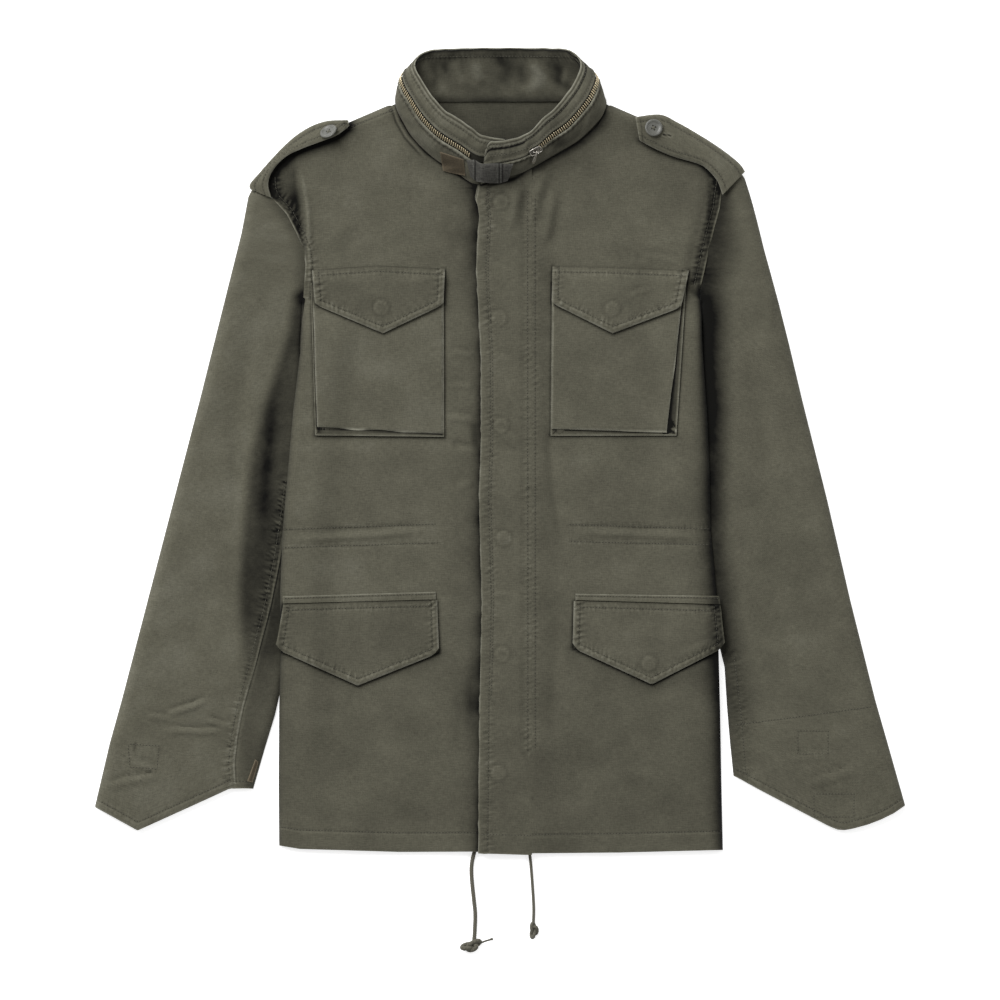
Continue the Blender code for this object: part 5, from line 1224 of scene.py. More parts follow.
def storm_surface(x, y):
    sewn = Sewn(x, y, 240).seams(STORM_SEAMS).edge(STORM_EDGE, light=0.9, fold=0.9, puff=0.5, breadth=9)
    for snap in STORM_SNAPS:
        sewn.bump(snap, 8.0, 0.7)
    # Darker towards the hem, and painted shade along the collar seam, under the collar.
    seam = reach(CLIMB_LINE[LEFT], x, y)[0]
    sewn.tone -= 0.1 * ease((-140 - y) / 90) + 0.05 + 0.8 * bell(seam, 2.2) + 0.28 * bell(seam, 13.0)
    # A faint painted shade line down the flap, and the tone following the creases: painted light and shade.
    sewn.shade([(22, 300), (21.5, -300)], 0.12, 2.5)
    sewn.tone += 0.14 * creased(x, y, STORM_CREASES)
    from_free = x - x_at(STORM_FREE, y)
    flutter = 0.7 * ripple(y, x * 0.1, 9, 241) * (1 - ease(from_free / 10)) + 0.4 * ripple(x, y, 22, 242)
    top = ease((y - 185) / 40)
    flutter = (flutter + top * ripple(x, y, 16,
                                      243) + creased(x, y, STORM_CREASES)) * ease((STORM_ROOT - x) / 6)
    return sewn, front_level(LEFT, x, y) + LAY_CLEAR + FLAP_WALL + sewn.height + flutter


def build_storm_flap(finish):
    base = 230.0
    low = BOTTOM + stepped(base - BOTTOM, (0.0, HEM_DEPTH))
    climb = np.linspace(0.0, 1.0, round(36 / GRAIN))[1:]
    levels = np.concatenate([low, np.full(len(climb), base)])
    climbs = np.concatenate([np.zeros(len(low)), climb])
    free = x_at(STORM_FREE, levels + STORM_TOP_REACH * climbs)
    free = free + (0.5 + 0.5 * ease((levels - 190) / 30)) * ripple(levels + 34 * climbs, 0 * levels, 6, 244)
    shares = stepped(54, (0, 2, 4, 9.6, 12, 49), 2.4)
    shares = shares / 54
    x = free[:, None] + (STORM_ROOT - free[:, None]) * shares[None, :]
    y = levels[:, None] + hem_shift(x, levels[:, None], -STORM_LONGER)
    y = y + (collar_seam_y(x) - 2 * SEAM - y) * climbs[:, None]
    sewn, z = storm_surface(x, y)
    sewn.edge([(px, py - STORM_LONGER) for py, px in HEM if -40 < px < 40], light=0.6, fold=0.4, puff=0.1)
    cloth("storm_flap_cloth", "storm_flap", (x, y, z), sewn.marks(), finish, (0.055, 0.675))
    sew("storm_flap_cloth", STORM_SEAMS)


# Epaulettes, buttons and the throat tab

def smooth_table(table, places):
    """Catmull-Rom reading of a table's rows."""
    table = np.array(table, float)
    last = len(table) - 1
    index = np.minimum(np.asarray(places).astype(int), last - 1)
    part = (np.asarray(places) - index)[:, None]
    before, here, there, after = (table[np.clip(index + step, 0, last)] for step in (-1, 0, 1, 2))
    return 0.5 * (2 * here + (there - before) * part + (2 * before - 5 * here + 4 * there - after) * part ** 2
                  + (3 * here - before - 3 * there + after) * part ** 3)


def epaulette_points(side, station, share):
    read = smooth_table(EPAULETTE[side], station)
    low, far, middle = read[:, None, 0:3], read[:, None, 3:6], read[:, None, 6]
    share = np.asarray(share)[..., None]
    spot = low + (far - low) * share
    swell = (middle[..., None] - (low[..., 2:3] + far[..., 2:3]) / 2) * 4 * share * (1 - share)
    spot[..., 2:3] += swell
    return spot


def build_epaulette(side, finish):
    table = np.array(EPAULETTE[side], float)
    middle = (table[:, 0:2] + table[:, 3:5]) / 2
    runs = run_along(middle)
    places = np.linspace(0, runs[-1], round(runs[-1] / 1.5))
    stations = np.interp(places, runs, np.arange(len(table)))
    broad = np.interp(stations, np.arange(len(table)), np.linalg.norm(table[:, 3:6] - table[:, 0:3], axis=1))
    shares = np.linspace(0.0, 1.0, round(34 / (0.62 * GRAIN)))
    share = np.broadcast_to(shares[None, :], (len(stations), len(shares)))
    points = epaulette_points(side, stations, share)
    run = np.broadcast_to(places[:, None], share.shape)
    across = share * broad[:, None]
    sewn = Sewn(run, across, 250 + side)
    for away in (across, broad[:, None] - across, run):
        sewn.tone += 0.9 * (0.7 + 0.4 * ripple(run, share * 30, 7, 251)) * bell(away, 1.0)
        sewn.height += 0.35 * bell(away - 2.6, 1.8) - 0.5 * (1 - ease(away / 1.2))
        near = bell(away - 5.0, 3.4)
        sewn.height += 0.4 * near * ruck(run + share * 30, away, 252) - 0.3 * bell(away - 5.0, 0.9)
        # A dark line along the stitch row: painted shade in its groove.
        sewn.tone -= 0.35 * bell(away - 5.0, 0.9)
        sewn.gather = np.maximum(sewn.gather, 0.5 * near)
        sewn.run = run + share * 30
    bulge = sewn.height + 0.4 * ripple(run, share * 30, 14, 253)
    if side == LEFT:
        slit = reach([(163.0, 316.4), (171.0, 315.2)], points[..., 0], points[..., 1])[0]
        # A dark slit with a light lip beside it: painted shade and a painted highlight.
        sewn.tone += 0.5 * bell(slit - 1.3, 0.8) - 1.1 * bell(slit, 0.8)
    along = np.gradient(points, axis=0)
    across = np.gradient(points, axis=1)
    normal = unit(np.cross(across, along))
    normal = normal * np.sign(normal[..., 2:3] + 1e-6)
    points = points + normal * bulge[..., None]
    x, y, z = np.moveaxis(points, -1, 0)
    marks = sewn.marks(run, share * 30)
    name = "epaulette_" + SIDE_NAME[side]
    obj = cloth(name + "_cloth", name, (x, y, z), marks, finish, (0.04, 0.15),
                turned=side == RIGHT)
    for rim in (5.0 / broad, 1 - 5.0 / broad):
        row = epaulette_points(side, stations, np.clip(rim, 0.1, 0.9)[:, None])[:, 0]
        STITCHED.append((name + "_cloth", [tuple(point[:2]) for point in row[3:-2:3]]))
    return obj


def tree_of(obj):
    mesh = obj.data
    return BVHTree.FromPolygons([vert.co.copy() for vert in mesh.vertices],
                                [tuple(p.vertices) for p in mesh.polygons])


def build_button(side, finish, thread):
    """A four-hole button with a dished face, lying on its epaulette."""
    strap = tree_of(bpy.data.objects["epaulette_" + SIDE_NAME[side] + "_cloth"])
    spot, normal, _, _ = strap.ray_cast(Vector((*BUTTON_AT[side], 200.0)) * MM, Vector((0, 0, -1)))
    turn = normal.to_track_quat("Z", "Y").to_matrix().to_4x4()
    seat = Matrix.Translation(spot + normal * 2.1 * MM) @ turn
    if side == RIGHT:
        turn = Vector((-0.382, 0.69, 0.616)).to_track_quat("Z", "Y").to_matrix().to_4x4()
        seat = Matrix.Translation(spot + Vector((0, 0, 2.8)) * MM) @ turn
    deselect()
    bpy.ops.mesh.primitive_circle_add(vertices=40, radius=7.6 * MM, fill_type="NGON",
                                      location=(0, 0, -1.4 * MM))
    obj = bpy.context.object
    obj.name = "epaulette_button_" + SIDE_NAME[side] + "_horn"
    bpy.ops.object.transform_apply(location=True)
    bpy.ops.object.mode_set(mode="EDIT")
    bpy.ops.mesh.select_all(action="SELECT")
    profile = [(8.6, 0.4), (8.8, 0.9), (8.5, 1.35), (7.9, 1.6), (7.0, 1.55), (6.3, 1.2), (5.7, 0.75),
               (4.6, 0.62)]
    size, height = 7.6, -1.4
    for radius, level in profile:
        bpy.ops.mesh.extrude_region_move(TRANSFORM_OT_translate={"value": (0, 0, (level - height) * MM)})
        bpy.ops.transform.resize(value=(radius / size, radius / size, 1.0))
        size, height = radius, level
    bpy.ops.object.mode_set(mode="OBJECT")
    deselect()
    cutters = []
    for quarter in range(4):
        angle = math.radians(45 + 90 * quarter)
        bpy.ops.mesh.primitive_cylinder_add(vertices=14, radius=0.95 * MM, depth=8 * MM,
                                            location=(2.0 * MM * math.cos(angle), 2.0 * MM * math.sin(angle),
                                                      0))
        cutters.append(bpy.context.object)
    for cutter in cutters:
        cutter.select_set(True)
    bpy.ops.object.join()
    cutter = bpy.context.object
    holes = obj.modifiers.new("thread holes", "BOOLEAN")
    holes.operation, holes.object = "DIFFERENCE", cutter
    apply_modifier(obj, holes)
    bpy.data.objects.remove(cutter, do_unlink=True)
    obj.matrix_world = seat
    finish_piece(obj, finish, angle=35.0)
    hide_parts("epaulette_button_" + SIDE_NAME[side])
    for number, angle in enumerate((45, 135)):
        deselect()
        bpy.ops.mesh.primitive_cylinder_add(vertices=10, radius=0.55 * MM, depth=4.2 * MM,
                                            rotation=(0, math.pi / 2, 0))
        bar = bpy.context.object
        bar.name = f"button_thread_{SIDE_NAME[side]}_{number}"
        bpy.ops.object.transform_apply(rotation=True)
        bpy.ops.object.mode_set(mode="EDIT")
        bpy.ops.mesh.select_all(action="SELECT")
        bpy.ops.mesh.subdivide(number_cuts=2)
        bpy.ops.object.mode_set(mode="OBJECT")
        for vert in bar.data.vertices:
            vert.co.z += (0.95 - 0.9 * (abs(vert.co.x) / (2.1 * MM)) ** 4) * MM
        bar.matrix_world = seat @ Matrix.Rotation(math.radians(angle), 4, "Z")
        finish_piece(bar, thread)


def laid_strip(name, node, edges, finish, wall, flat, light=0.4, folds=()):
    """A flat strip that follows the top of its own solid, smoothed over its steps."""
    solid = tree_of(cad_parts[node])

    def top_at(px, py):
        heights = []
        for dx, dy in ((0, 0), (1.5, 0), (-1.5, 0), (0, 1.5), (0, -1.5), (3, 0), (-3, 0)):
            spot, _, _, _ = solid.ray_cast(Vector((px + dx, py + dy, 200.0)) * MM, Vector((0, 0, -1)))
            if spot:
                heights.append(spot.z / MM)
        if not heights:
            spot, _, _, _ = solid.find_nearest(Vector((px, py, 30.0)) * MM)
            heights = [spot.z / MM]
        return sum(heights) / len(heights)

    top, low = (np.array(edge, float) for edge in edges)
    runs = run_along((top + low) / 2)
    width = float(np.hypot(*(top[0] - low[0])))
    places, across = np.linspace(0.0, runs[-1],
                                 round(runs[-1] / 0.7)), np.linspace(0.0, 1.0, round(width / 0.8))
    upper, lower = (np.stack([np.interp(places, runs, edge[:, axis]) for axis in (0, 1)],
                             axis=1) for edge in (top, low))
    spot = lower[None] * (1 - across[:, None, None]) + upper[None] * across[:, None, None]
    x, y = spot[..., 0], spot[..., 1]
    z = np.array([[top_at(px, py) for px, py in zip(row_x, row_y)] for row_x, row_y in zip(x, y)])
    run = np.broadcast_to(places[None, :], x.shape)
    ends = np.minimum(run, runs[-1] - run)
    sides = np.minimum(across, 1 - across)[:, None] * width
    away = np.minimum(ends, sides)
    tone = light * bell(away, 1.0)
    z = z - 0.4 * (1 - ease(away / 1.2)) + 0.15 * ripple(x, y, 5, 261)
    for fold, depth in folds:
        z = z - depth * bell(x - fold, 0.9)
        # A dark line in each fold with a light line beside it: painted shade and a painted highlight.
        tone = tone - 0.9 * bell(x - fold, 0.8) + 0.5 * bell(x - fold + 1.8, 0.8)
    marks = {"tone": tone, "sewn": (run, 20 + 0 * x, 0 * x),
             "weave": (run, np.broadcast_to(across[:, None] * width, x.shape), 0 * x)}
    return cloth(name, node, (x, y, z), marks, finish, flat, wall=wall)


def build_throat_tab(hook, webbing):
    laid_strip("throat_pad_hook", "throat_pad", THROAT_PAD, hook, 1.2, (0.028, 0.02), 0.3)
    laid_strip("throat_strap_webbing", "throat_strap", THROAT_STRAP, webbing, 1.4,
               (0.052, 0.021),
               0.15, folds=((-24.8, 1.0), (-0.6, 0.8), (2.6, 0.9)))


def build_cuff_pad(hook):
    across, down = np.meshgrid(np.linspace(0, 1, 8), np.linspace(1, 0, 24))
    x, y = quad(CUFF_PAD, across, down)
    z = sleeve_height(RIGHT, x, y) + LAY_CLEAR + 1.3
    away = np.minimum(np.minimum(across, 1 - across) * 4, np.minimum(down, 1 - down) * 22)
    marks = {"tone": 0.9 * bell(away, 0.6), "sewn": (0 * x, 20 + 0 * x, 0 * x),
             "weave": (across * 4, down * 22, 0 * x)}
    cloth("cuff_pad_hook", "cuff_pad_right", (x, y, z), marks, hook, (0.0101, 0.0225),
          wall=1.0)


# Metal of the hood zip

SLIDER_SIZE = (10.5, 7.6, 2.2)
PIN_LENGTH, PIN_HEIGHT, POST = 5.0, 5.2, 1.3
PULL_SWING, PULL_END, PULL_END_CLEAR = math.radians(-27.8), (20.35, 0.24), 3.2


def zip_frame():
    """A frame on the zip at the slider: X along the zip, Y down the collar, Z out of it."""
    share = 0.53
    origin = Vector(collar_point(CHAIN_TO, share, CHAIN_PROUD))
    out = Vector(collar_normal(np.float64(CHAIN_TO), np.float64(share)))
    down = Vector(collar_skin(np.float64(CHAIN_TO),
                              share - 0.1) - collar_skin(np.float64(CHAIN_TO), share)).normalized()
    along = down.cross(out).normalized()
    down = out.cross(along)
    return Matrix.Translation(origin * MM) @ Matrix((along, down, out)).transposed().to_4x4()


def pin_frame():
    return zip_frame() @ Matrix.Rotation(PULL_SWING, 4, "Z") @ Matrix.Translation((0, 0, PIN_HEIGHT * MM))


def pull_frame():
    tip = pin_frame().inverted() @ (Vector(collar_point(*PULL_END, PULL_END_CLEAR)) * MM)
    return pin_frame() @ Matrix.Rotation(math.atan2(tip.z, tip.y), 4, "X")


def build_slider(steel, dull):
    thick = SLIDER_SIZE[2]
    deselect()
    bpy.ops.mesh.primitive_cube_add(size=1.0, location=(0, 0, (thick / 2 + SEAM) * MM))
    body = bpy.context.object
    body.scale = Vector(SLIDER_SIZE) * MM
    bpy.ops.object.transform_apply(location=True, scale=True)
    bpy.ops.object.mode_set(mode="EDIT")
    bpy.ops.mesh.select_all(action="SELECT")
    bpy.ops.mesh.bevel(offset=0.7 * MM, segments=2)
    bpy.ops.object.mode_set(mode="OBJECT")
    for vert in body.data.vertices:
        narrow = 1.0 - 0.22 * abs(vert.co.x) / (SLIDER_SIZE[0] / 2 * MM)
        vert.co.y *= narrow
    body.matrix_world = zip_frame()
    body.name = "hood_zip_slider_body"
    finish_piece(body, dull, angle=30.0)
    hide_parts("hood_zip_slider")
    post = PIN_LENGTH / 2 + POST / 2 - 0.2
    bridge = [(-post, 0, thick + 0.1 - PIN_HEIGHT), (-post, 0, -0.6), (-post + 0.7, 0, 0), (0, 0, 0.05),
              (post - 0.7, 0, 0), (post, 0, -0.6), (post, 0, thick + 0.1 - PIN_HEIGHT)]
    wire("hood_zip_slider_bridge", [pin_frame() @ (Vector(point) * MM) for point in bridge], 0.55, steel,
         "jacket")
    oval = [(-5.0, -3.2, 0.5), (5.0, -3.2, 0.5), (6.0, 0, 0.6), (5.0, 3.2, 0.5), (-5.0, 3.2, 0.5),
            (-6.0, 0, 0.6)]
    rail = [zip_frame() @ (Vector((x, y, thick + z)) * MM) for x, y, z in oval]
    wire("hood_zip_slider_rail", rail, 0.45, steel, "jacket", closed=True)


def wire(name, points, radius, finish, body, closed=False):
    """A round wire bent through some points."""
    curve = bpy.data.curves.new(name, "CURVE")
    curve.dimensions = "3D"
    curve.bevel_depth, curve.bevel_resolution, curve.use_fill_caps = radius * MM, 3, True
    spline = curve.splines.new("POLY")
    count = len(points)
    fine = []
    for index in range(count if closed else count - 1):
        around = [points[(index + step) % count] if closed else points[min(max(index + step, 0), count - 1)]
                  for step in (-1, 0, 1, 2)]
        for step in range(6):
            part = step / 6
            before, here, there, after = around
            fine.append(spline_point(before, here, there, after, part))
    if not closed:
        fine.append(points[-1])
    spline.points.add(len(fine) - 1)
    for target, point in zip(spline.points, fine):
        target.co = (*point, 1.0)
    spline.use_cyclic_u = closed
    obj = bpy.data.objects.new(name, curve)
    bpy.context.scene.collection.objects.link(obj)
    deselect()
    obj.select_set(True)
    bpy.context.view_layer.objects.active = obj
    bpy.ops.object.convert(target="MESH")
    return finish_piece(bpy.context.object, finish, body, 50.0)


def build_pull(steel):
    """The pull tab: a plate with an eye at its top."""
    deselect()
    bpy.ops.mesh.primitive_cube_add(size=1.0, location=(0, 9.2 * MM, 0))
    plate = bpy.context.object
    plate.scale = (3.6 * MM, 15.0 * MM, 0.9 * MM)
    bpy.ops.object.transform_apply(location=True, scale=True)
    bpy.ops.object.mode_set(mode="EDIT")
    bpy.ops.mesh.select_all(action="SELECT")
    bpy.ops.mesh.subdivide(number_cuts=3)
    bpy.ops.object.mode_set(mode="OBJECT")
    for vert in plate.data.vertices:
        share = (vert.co.y / MM - 1.7) / 15.0
        vert.co.x *= 0.62 + 0.38 * float(ease((share - 0.1) / 0.5))
        if share > 0.99:
            vert.co.x *= 0.72
    bevel = plate.modifiers.new("soft edges", "BEVEL")
    bevel.width, bevel.segments, bevel.limit_method = 0.22 * MM, 2, "ANGLE"
    apply_modifier(plate, bevel)
    plate.name = "hood_zip_pull_plate"
    plate.matrix_world = pull_frame()
    finish_piece(plate, steel, "zip_pull", 30.0)
    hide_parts("hood_zip_pull")
    eye = [Vector((0, 1.35 * math.cos(t), 1.35 * math.sin(t))) for t in np.linspace(0, 2 * math.pi, 9)[:-1]]
    wire("hood_zip_pull_eye", [pull_frame() @ (point * MM) for point in eye], 0.42, steel, "zip_pull",
         closed=True)


# Drawcords

def smooth_route(points, spacing):
    route = [Vector(point) for point in points]
    padded = [2 * route[0] - route[1]] + route + [2 * route[-1] - route[-2]]
    fine = []
    for before, here, there, after in zip(padded, padded[1:], padded[2:], padded[3:]):
        for step in range(12):
            part = step / 12
            fine.append(spline_point(before, here, there, after, part))
    fine.append(route[-1])
    lengths = np.cumsum([0.0] + [(b - a).length for a, b in zip(fine, fine[1:])])
    marks = np.linspace(0.0, lengths[-1], max(2, round(lengths[-1] / spacing)) + 1)
    axes = [np.interp(marks, lengths, [point[axis] for point in fine]) for axis in range(3)]
    return np.stack(axes, axis=1), float(lengths[-1])


def braided(name, path, radius, finish, closed=False, squash=1.0, around=18, strands=4, pitch=5.0, flare=0.0):
    """A braided tube along a path, with the braid's strands standing up from it."""
    path = np.asarray(path, float)
    count = len(path)
    ahead = np.roll(path, -1, axis=0) - np.roll(path, 1, axis=0) if closed else np.gradient(path, axis=0)
    tangent = unit(ahead)
    side = unit(np.cross(tangent, np.array([0.0, 0.0, 1.0]) + 0.001))
    up = np.cross(side, tangent)
    run = np.concatenate([[0.0], np.cumsum(np.linalg.norm(np.diff(path, axis=0), axis=1))])
    turn = np.linspace(0.0, 2 * np.pi, around, endpoint=False)
    phase = 2 * np.pi * run[:, None] / pitch
    weave = np.maximum(np.cos(strands * turn[None, :] / 2 + phase) ** 2,
                       np.cos(strands * turn[None, :] / 2 - phase) ** 2)
    size = radius * (0.93 + 0.14 * (weave - 0.5))
    if flare:
        size = size * (1 + flare * bell(run[-1] - run[:, None], 2.0))
    points = path[:, None, :] + size[..., None] * (np.cos(turn)[None, :, None] * side[:, None, :]
                                                   + squash * np.sin(turn)[None, :, None] * up[:, None, :])
    faces = []
    for ring in range(count if closed else count - 1):
        following = (ring + 1) % count
        for step in range(around):
            after = (step + 1) % around
            faces.append((ring * around + step, ring * around + after, following * around + after,
                          following * around + step))
    if not closed:
        faces.append(tuple(reversed(range(around))))
        faces.append(tuple((count - 1) * around + step for step in range(around)))
    mesh = bpy.data.meshes.new(name)
    mesh.from_pydata((points.reshape(-1, 3) * MM).tolist(), [], faces)
    coordinates = np.stack([np.broadcast_to(run[:, None], weave.shape),
                            np.broadcast_to(turn[None, :] * radius, weave.shape),
                            weave], axis=-1)
    mesh.attributes.new("weave", "FLOAT_VECTOR", "POINT").data.foreach_set(
        "vector", coordinates.astype(np.float32).ravel())
    obj = bpy.data.objects.new(name, mesh)
    bpy.context.scene.collection.objects.link(obj)
    deselect()
    obj.select_set(True)
    bpy.context.view_layer.objects.active = obj
    bpy.ops.object.mode_set(mode="EDIT")
    bpy.ops.mesh.select_all(action="SELECT")
    bpy.ops.mesh.normals_make_consistent(inside=False)
    bpy.ops.object.mode_set(mode="OBJECT")
    return finish_piece(obj, finish, angle=70.0)


def knot_path(knot, radius):
    """An overhand knot drawn tight, inside the room that its solid has."""
    t = np.linspace(0.0, 2 * np.pi, 90, endpoint=False)
    x = (np.sin(t) + 2 * np.sin(2 * t)) / 2.6
    y = (np.cos(t) - 2 * np.cos(2 * t)) / 2.6
    z = -np.sin(3 * t)
    size = np.array([knot.half_length, knot.half_width, knot.half_height]) - radius
    points = np.stack([x * size[0], y * size[1], z * size[2]], axis=1)
    c, s = math.cos(knot.turn), math.sin(knot.turn)
    return np.stack([knot.centre[0] + points[:, 0] * c - points[:, 1] * s,
                     knot.centre[1] + points[:, 0] * s + points[:, 1] * c,
                     points[:, 2] - points[:, 2].min() + radius + FLOOR_CLEAR], axis=1)


def build_drawcords(braid):
    for side in SIDES:
        radius = CORD_RADIUS[side]
        name = "drawcord_" + SIDE_NAME[side]
        route = [(x, y, radius + FLOOR_CLEAR + height) for x, y, height in CORD_ROUTE[side]]
        path, length = smooth_route(route, 0.7)
        cord = braided(name + "_braid", path, radius, braid)
        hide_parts(name)
        knot_name = "drawcord_knot_" + SIDE_NAME[side]
        strand = 2.4 if side == RIGHT else 1.8
        knot = braided(knot_name + "_braid", knot_path(KNOT[side], strand), strand, braid, closed=True)
        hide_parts(knot_name)
        end, pieces = path[::4], [knot]
        if side == RIGHT:
            tail, _ = smooth_route([(x, y, TAIL_RADIUS + FLOOR_CLEAR + z) for x, y, z in TAIL_ROUTE], 0.6)
            tag = braided("drawcord_tail_right_braid", tail, TAIL_RADIUS, braid, flare=0.5)
            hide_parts("drawcord_tail_right")
            pieces.append(tag)


# Stitches

def build_stitching(thread, hole):
    """Rows of short stitches, each a small spindle laid on the cloth, and dark spindles between them: the
    painted shadow of the needle holes.
    """
    scene, depsgraph = bpy.context.scene, bpy.context.evaluated_depsgraph_get()
    ends = []
    for cloth_name, path in STITCHED:
        points = np.array(path, float)
        runs = run_along(points)
        marks = np.arange(0.4, runs[-1] - STITCH_PITCH, STITCH_PITCH)
        both = []
        for shift in (0.0, STITCH_LENGTH):
            x, y = (np.interp(marks + shift, runs, points[:, axis]) for axis in (0, 1))
            row = []
            for px, py in zip(x, y):
                hit, spot, _, _, obj, _ = scene.ray_cast(depsgraph, Vector((px * MM, py * MM, 0.3)),
                                                         Vector((0, 0, -1)))
                row.append(tuple(spot) if hit and obj.name == cloth_name else (np.nan,) * 3)
            both.append(row)
        ends.append(np.array(both).transpose(1, 0, 2))
    ends = np.concatenate(ends)
    ends = ends[~np.isnan(ends).any(axis=(1, 2))]
    deselect()
    bpy.ops.mesh.primitive_uv_sphere_add(segments=5, ring_count=3, radius=1.0)
    one = bpy.context.object
    corners = np.array([vert.co for vert in one.data.vertices])
    faces = [tuple(polygon.vertices) for polygon in one.data.polygons]
    bpy.data.objects.remove(one, do_unlink=True)
    start, end = ends[:, 0], ends[:, 1]
    along = unit(end - start)
    side = unit(np.cross(along, [0.0, 0.0, 1.0]))
    up = np.cross(side, along)
    gap = (STITCH_PITCH - STITCH_LENGTH) * MM
    for name, centre, half, width, rise, finish in (
            ("stitches", (start + end) / 2, STITCH_LENGTH / 2 * MM, STITCH_RADIUS * MM, 0.12 * MM, thread),
            # Dark spindles between the stitches: the painted shadow of the needle holes.
            ("needle_hole_shadows", end + along * gap / 2, 0.62 * MM, 0.5 * MM, 0.0, hole)):
        points = ((centre + up * rise)[:, None, :] + corners[None, :, 2:3] * half * along[:, None, :]
                  + corners[None, :, 0:1] * width * side[:, None, :]
                  + corners[None, :, 1:2] * min(width, 0.24 * MM) * up[:, None, :])
        copied(name, points, faces, finish)


# Materials

def put(tree, kind, links=(), **settings):
    """A node with its settings; links pairs an input with a value or with another node's output."""
    made = tree.nodes.new(kind)
    for name, value in settings.items():
        setattr(made, name, value)
    for socket, value in dict(links).items():
        if isinstance(value, bpy.types.NodeSocket):
            tree.links.new(value, made.inputs[socket])
        else:
            made.inputs[socket].default_value = value
    return made


def maths(tree, operation, first, second=0.0, clamp=False):
    return put(tree, "ShaderNodeMath", {0: first, 1: second}, operation=operation, use_clamp=clamp).outputs[0]


def mixed(tree, factor, first, second, blend="MIX"):
    made = tree.nodes.new("ShaderNodeMix")
    made.data_type, made.blend_type = "RGBA", blend
    for socket, value in ((0, factor), (6, first), (7, second)):
        if isinstance(value, bpy.types.NodeSocket):
            tree.links.new(value, made.inputs[socket])
        else:
            made.inputs[socket].default_value = value
    return made.outputs[2]


def group(name, inputs, outputs):
    tree = bpy.data.node_groups.new(name, "ShaderNodeTree")
    for label, kind, value in inputs:
        socket = tree.interface.new_socket(name=label, in_out="INPUT", socket_type=kind)
        if value is not None:
            socket.default_value = value
    for label, kind in outputs:
        tree.interface.new_socket(name=label, in_out="OUTPUT", socket_type=kind)
    return tree, tree.nodes.new("NodeGroupInput"), tree.nodes.new("NodeGroupOutput")


def streaks(tree, vector, scale, share, detail=2.0):
    """Noise stretched into streaks, from about -share/2 to share/2."""
    mapped = put(tree, "ShaderNodeMapping", {"Vector": vector, "Scale": scale})
    noise = put(tree, "ShaderNodeTexNoise",
                {"Vector": mapped.outputs[0], "Scale": 1.0, "Detail": detail, "Roughness": 0.6})
    return maths(tree, "MULTIPLY", maths(tree, "SUBTRACT", noise.outputs[0], 0.5), share)


def total(tree, *parts):
    """The sum of several sockets."""
    result = parts[0]
    for part in parts[1:]:
        result = maths(tree, "ADD", result, part)
    return result


def weave_group():
    """Uneven yarns and fine twill, read along the cloth's own grain in millimetres."""
    if "Cloth weave" in bpy.data.node_groups:
        return bpy.data.node_groups["Cloth weave"]
    tree, given, out = group("Cloth weave",
                             [("Grain", "NodeSocketVector", None), ("Contrast", "NodeSocketFloat", 1.0)],
                             [("Shade", "NodeSocketFloat"), ("Height", "NodeSocketFloat")])
    grain = given.outputs["Grain"]
    yarns = total(tree, streaks(tree, grain, (0.17, 1.0, 1.0), 1.0),
                  streaks(tree, grain, (1.0, 0.2, 1.0), 0.75),
                  streaks(tree, grain, (1.1, 1.1, 1.0), 0.65), streaks(tree, grain, (0.05, 0.05, 1.0), 0.3))
    shade = maths(tree, "ADD", 1.0, maths(tree, "MULTIPLY", yarns, given.outputs["Contrast"]))
    tree.links.new(shade, out.inputs["Shade"])
    turned = put(tree, "ShaderNodeMapping", {"Vector": grain, "Rotation": (0, 0, math.radians(63))})
    twill = put(tree, "ShaderNodeTexWave",
                {"Vector": turned.outputs[0], "Scale": 0.25, "Distortion": 1.5, "Detail": 1.0})
    tree.links.new(maths(tree, "ADD", maths(tree, "MULTIPLY", twill.outputs["Fac"], 0.5), yarns),
                   out.inputs["Height"])
    return tree


def gather_group():
    """Small ridges across a seam, strong beside it, from the piece's own seam marks in millimetres."""
    if "Seam gathers" in bpy.data.node_groups:
        return bpy.data.node_groups["Seam gathers"]
    tree, given, out = group("Seam gathers", [("Sewn", "NodeSocketVector", None)],
                             [("Ridge", "NodeSocketFloat")])
    split = put(tree, "ShaderNodeSeparateXYZ", {0: given.outputs["Sewn"]})
    ridge = total(tree, streaks(tree, given.outputs["Sewn"], (0.42, 0.1, 0.0), 1.2, 1.0),
                  streaks(tree, given.outputs["Sewn"], (0.2, 0.06, 0.0), 1.2, 0.0))
    tree.links.new(maths(tree, "MULTIPLY", ridge, split.outputs["Z"]), out.inputs["Ridge"])
    return tree


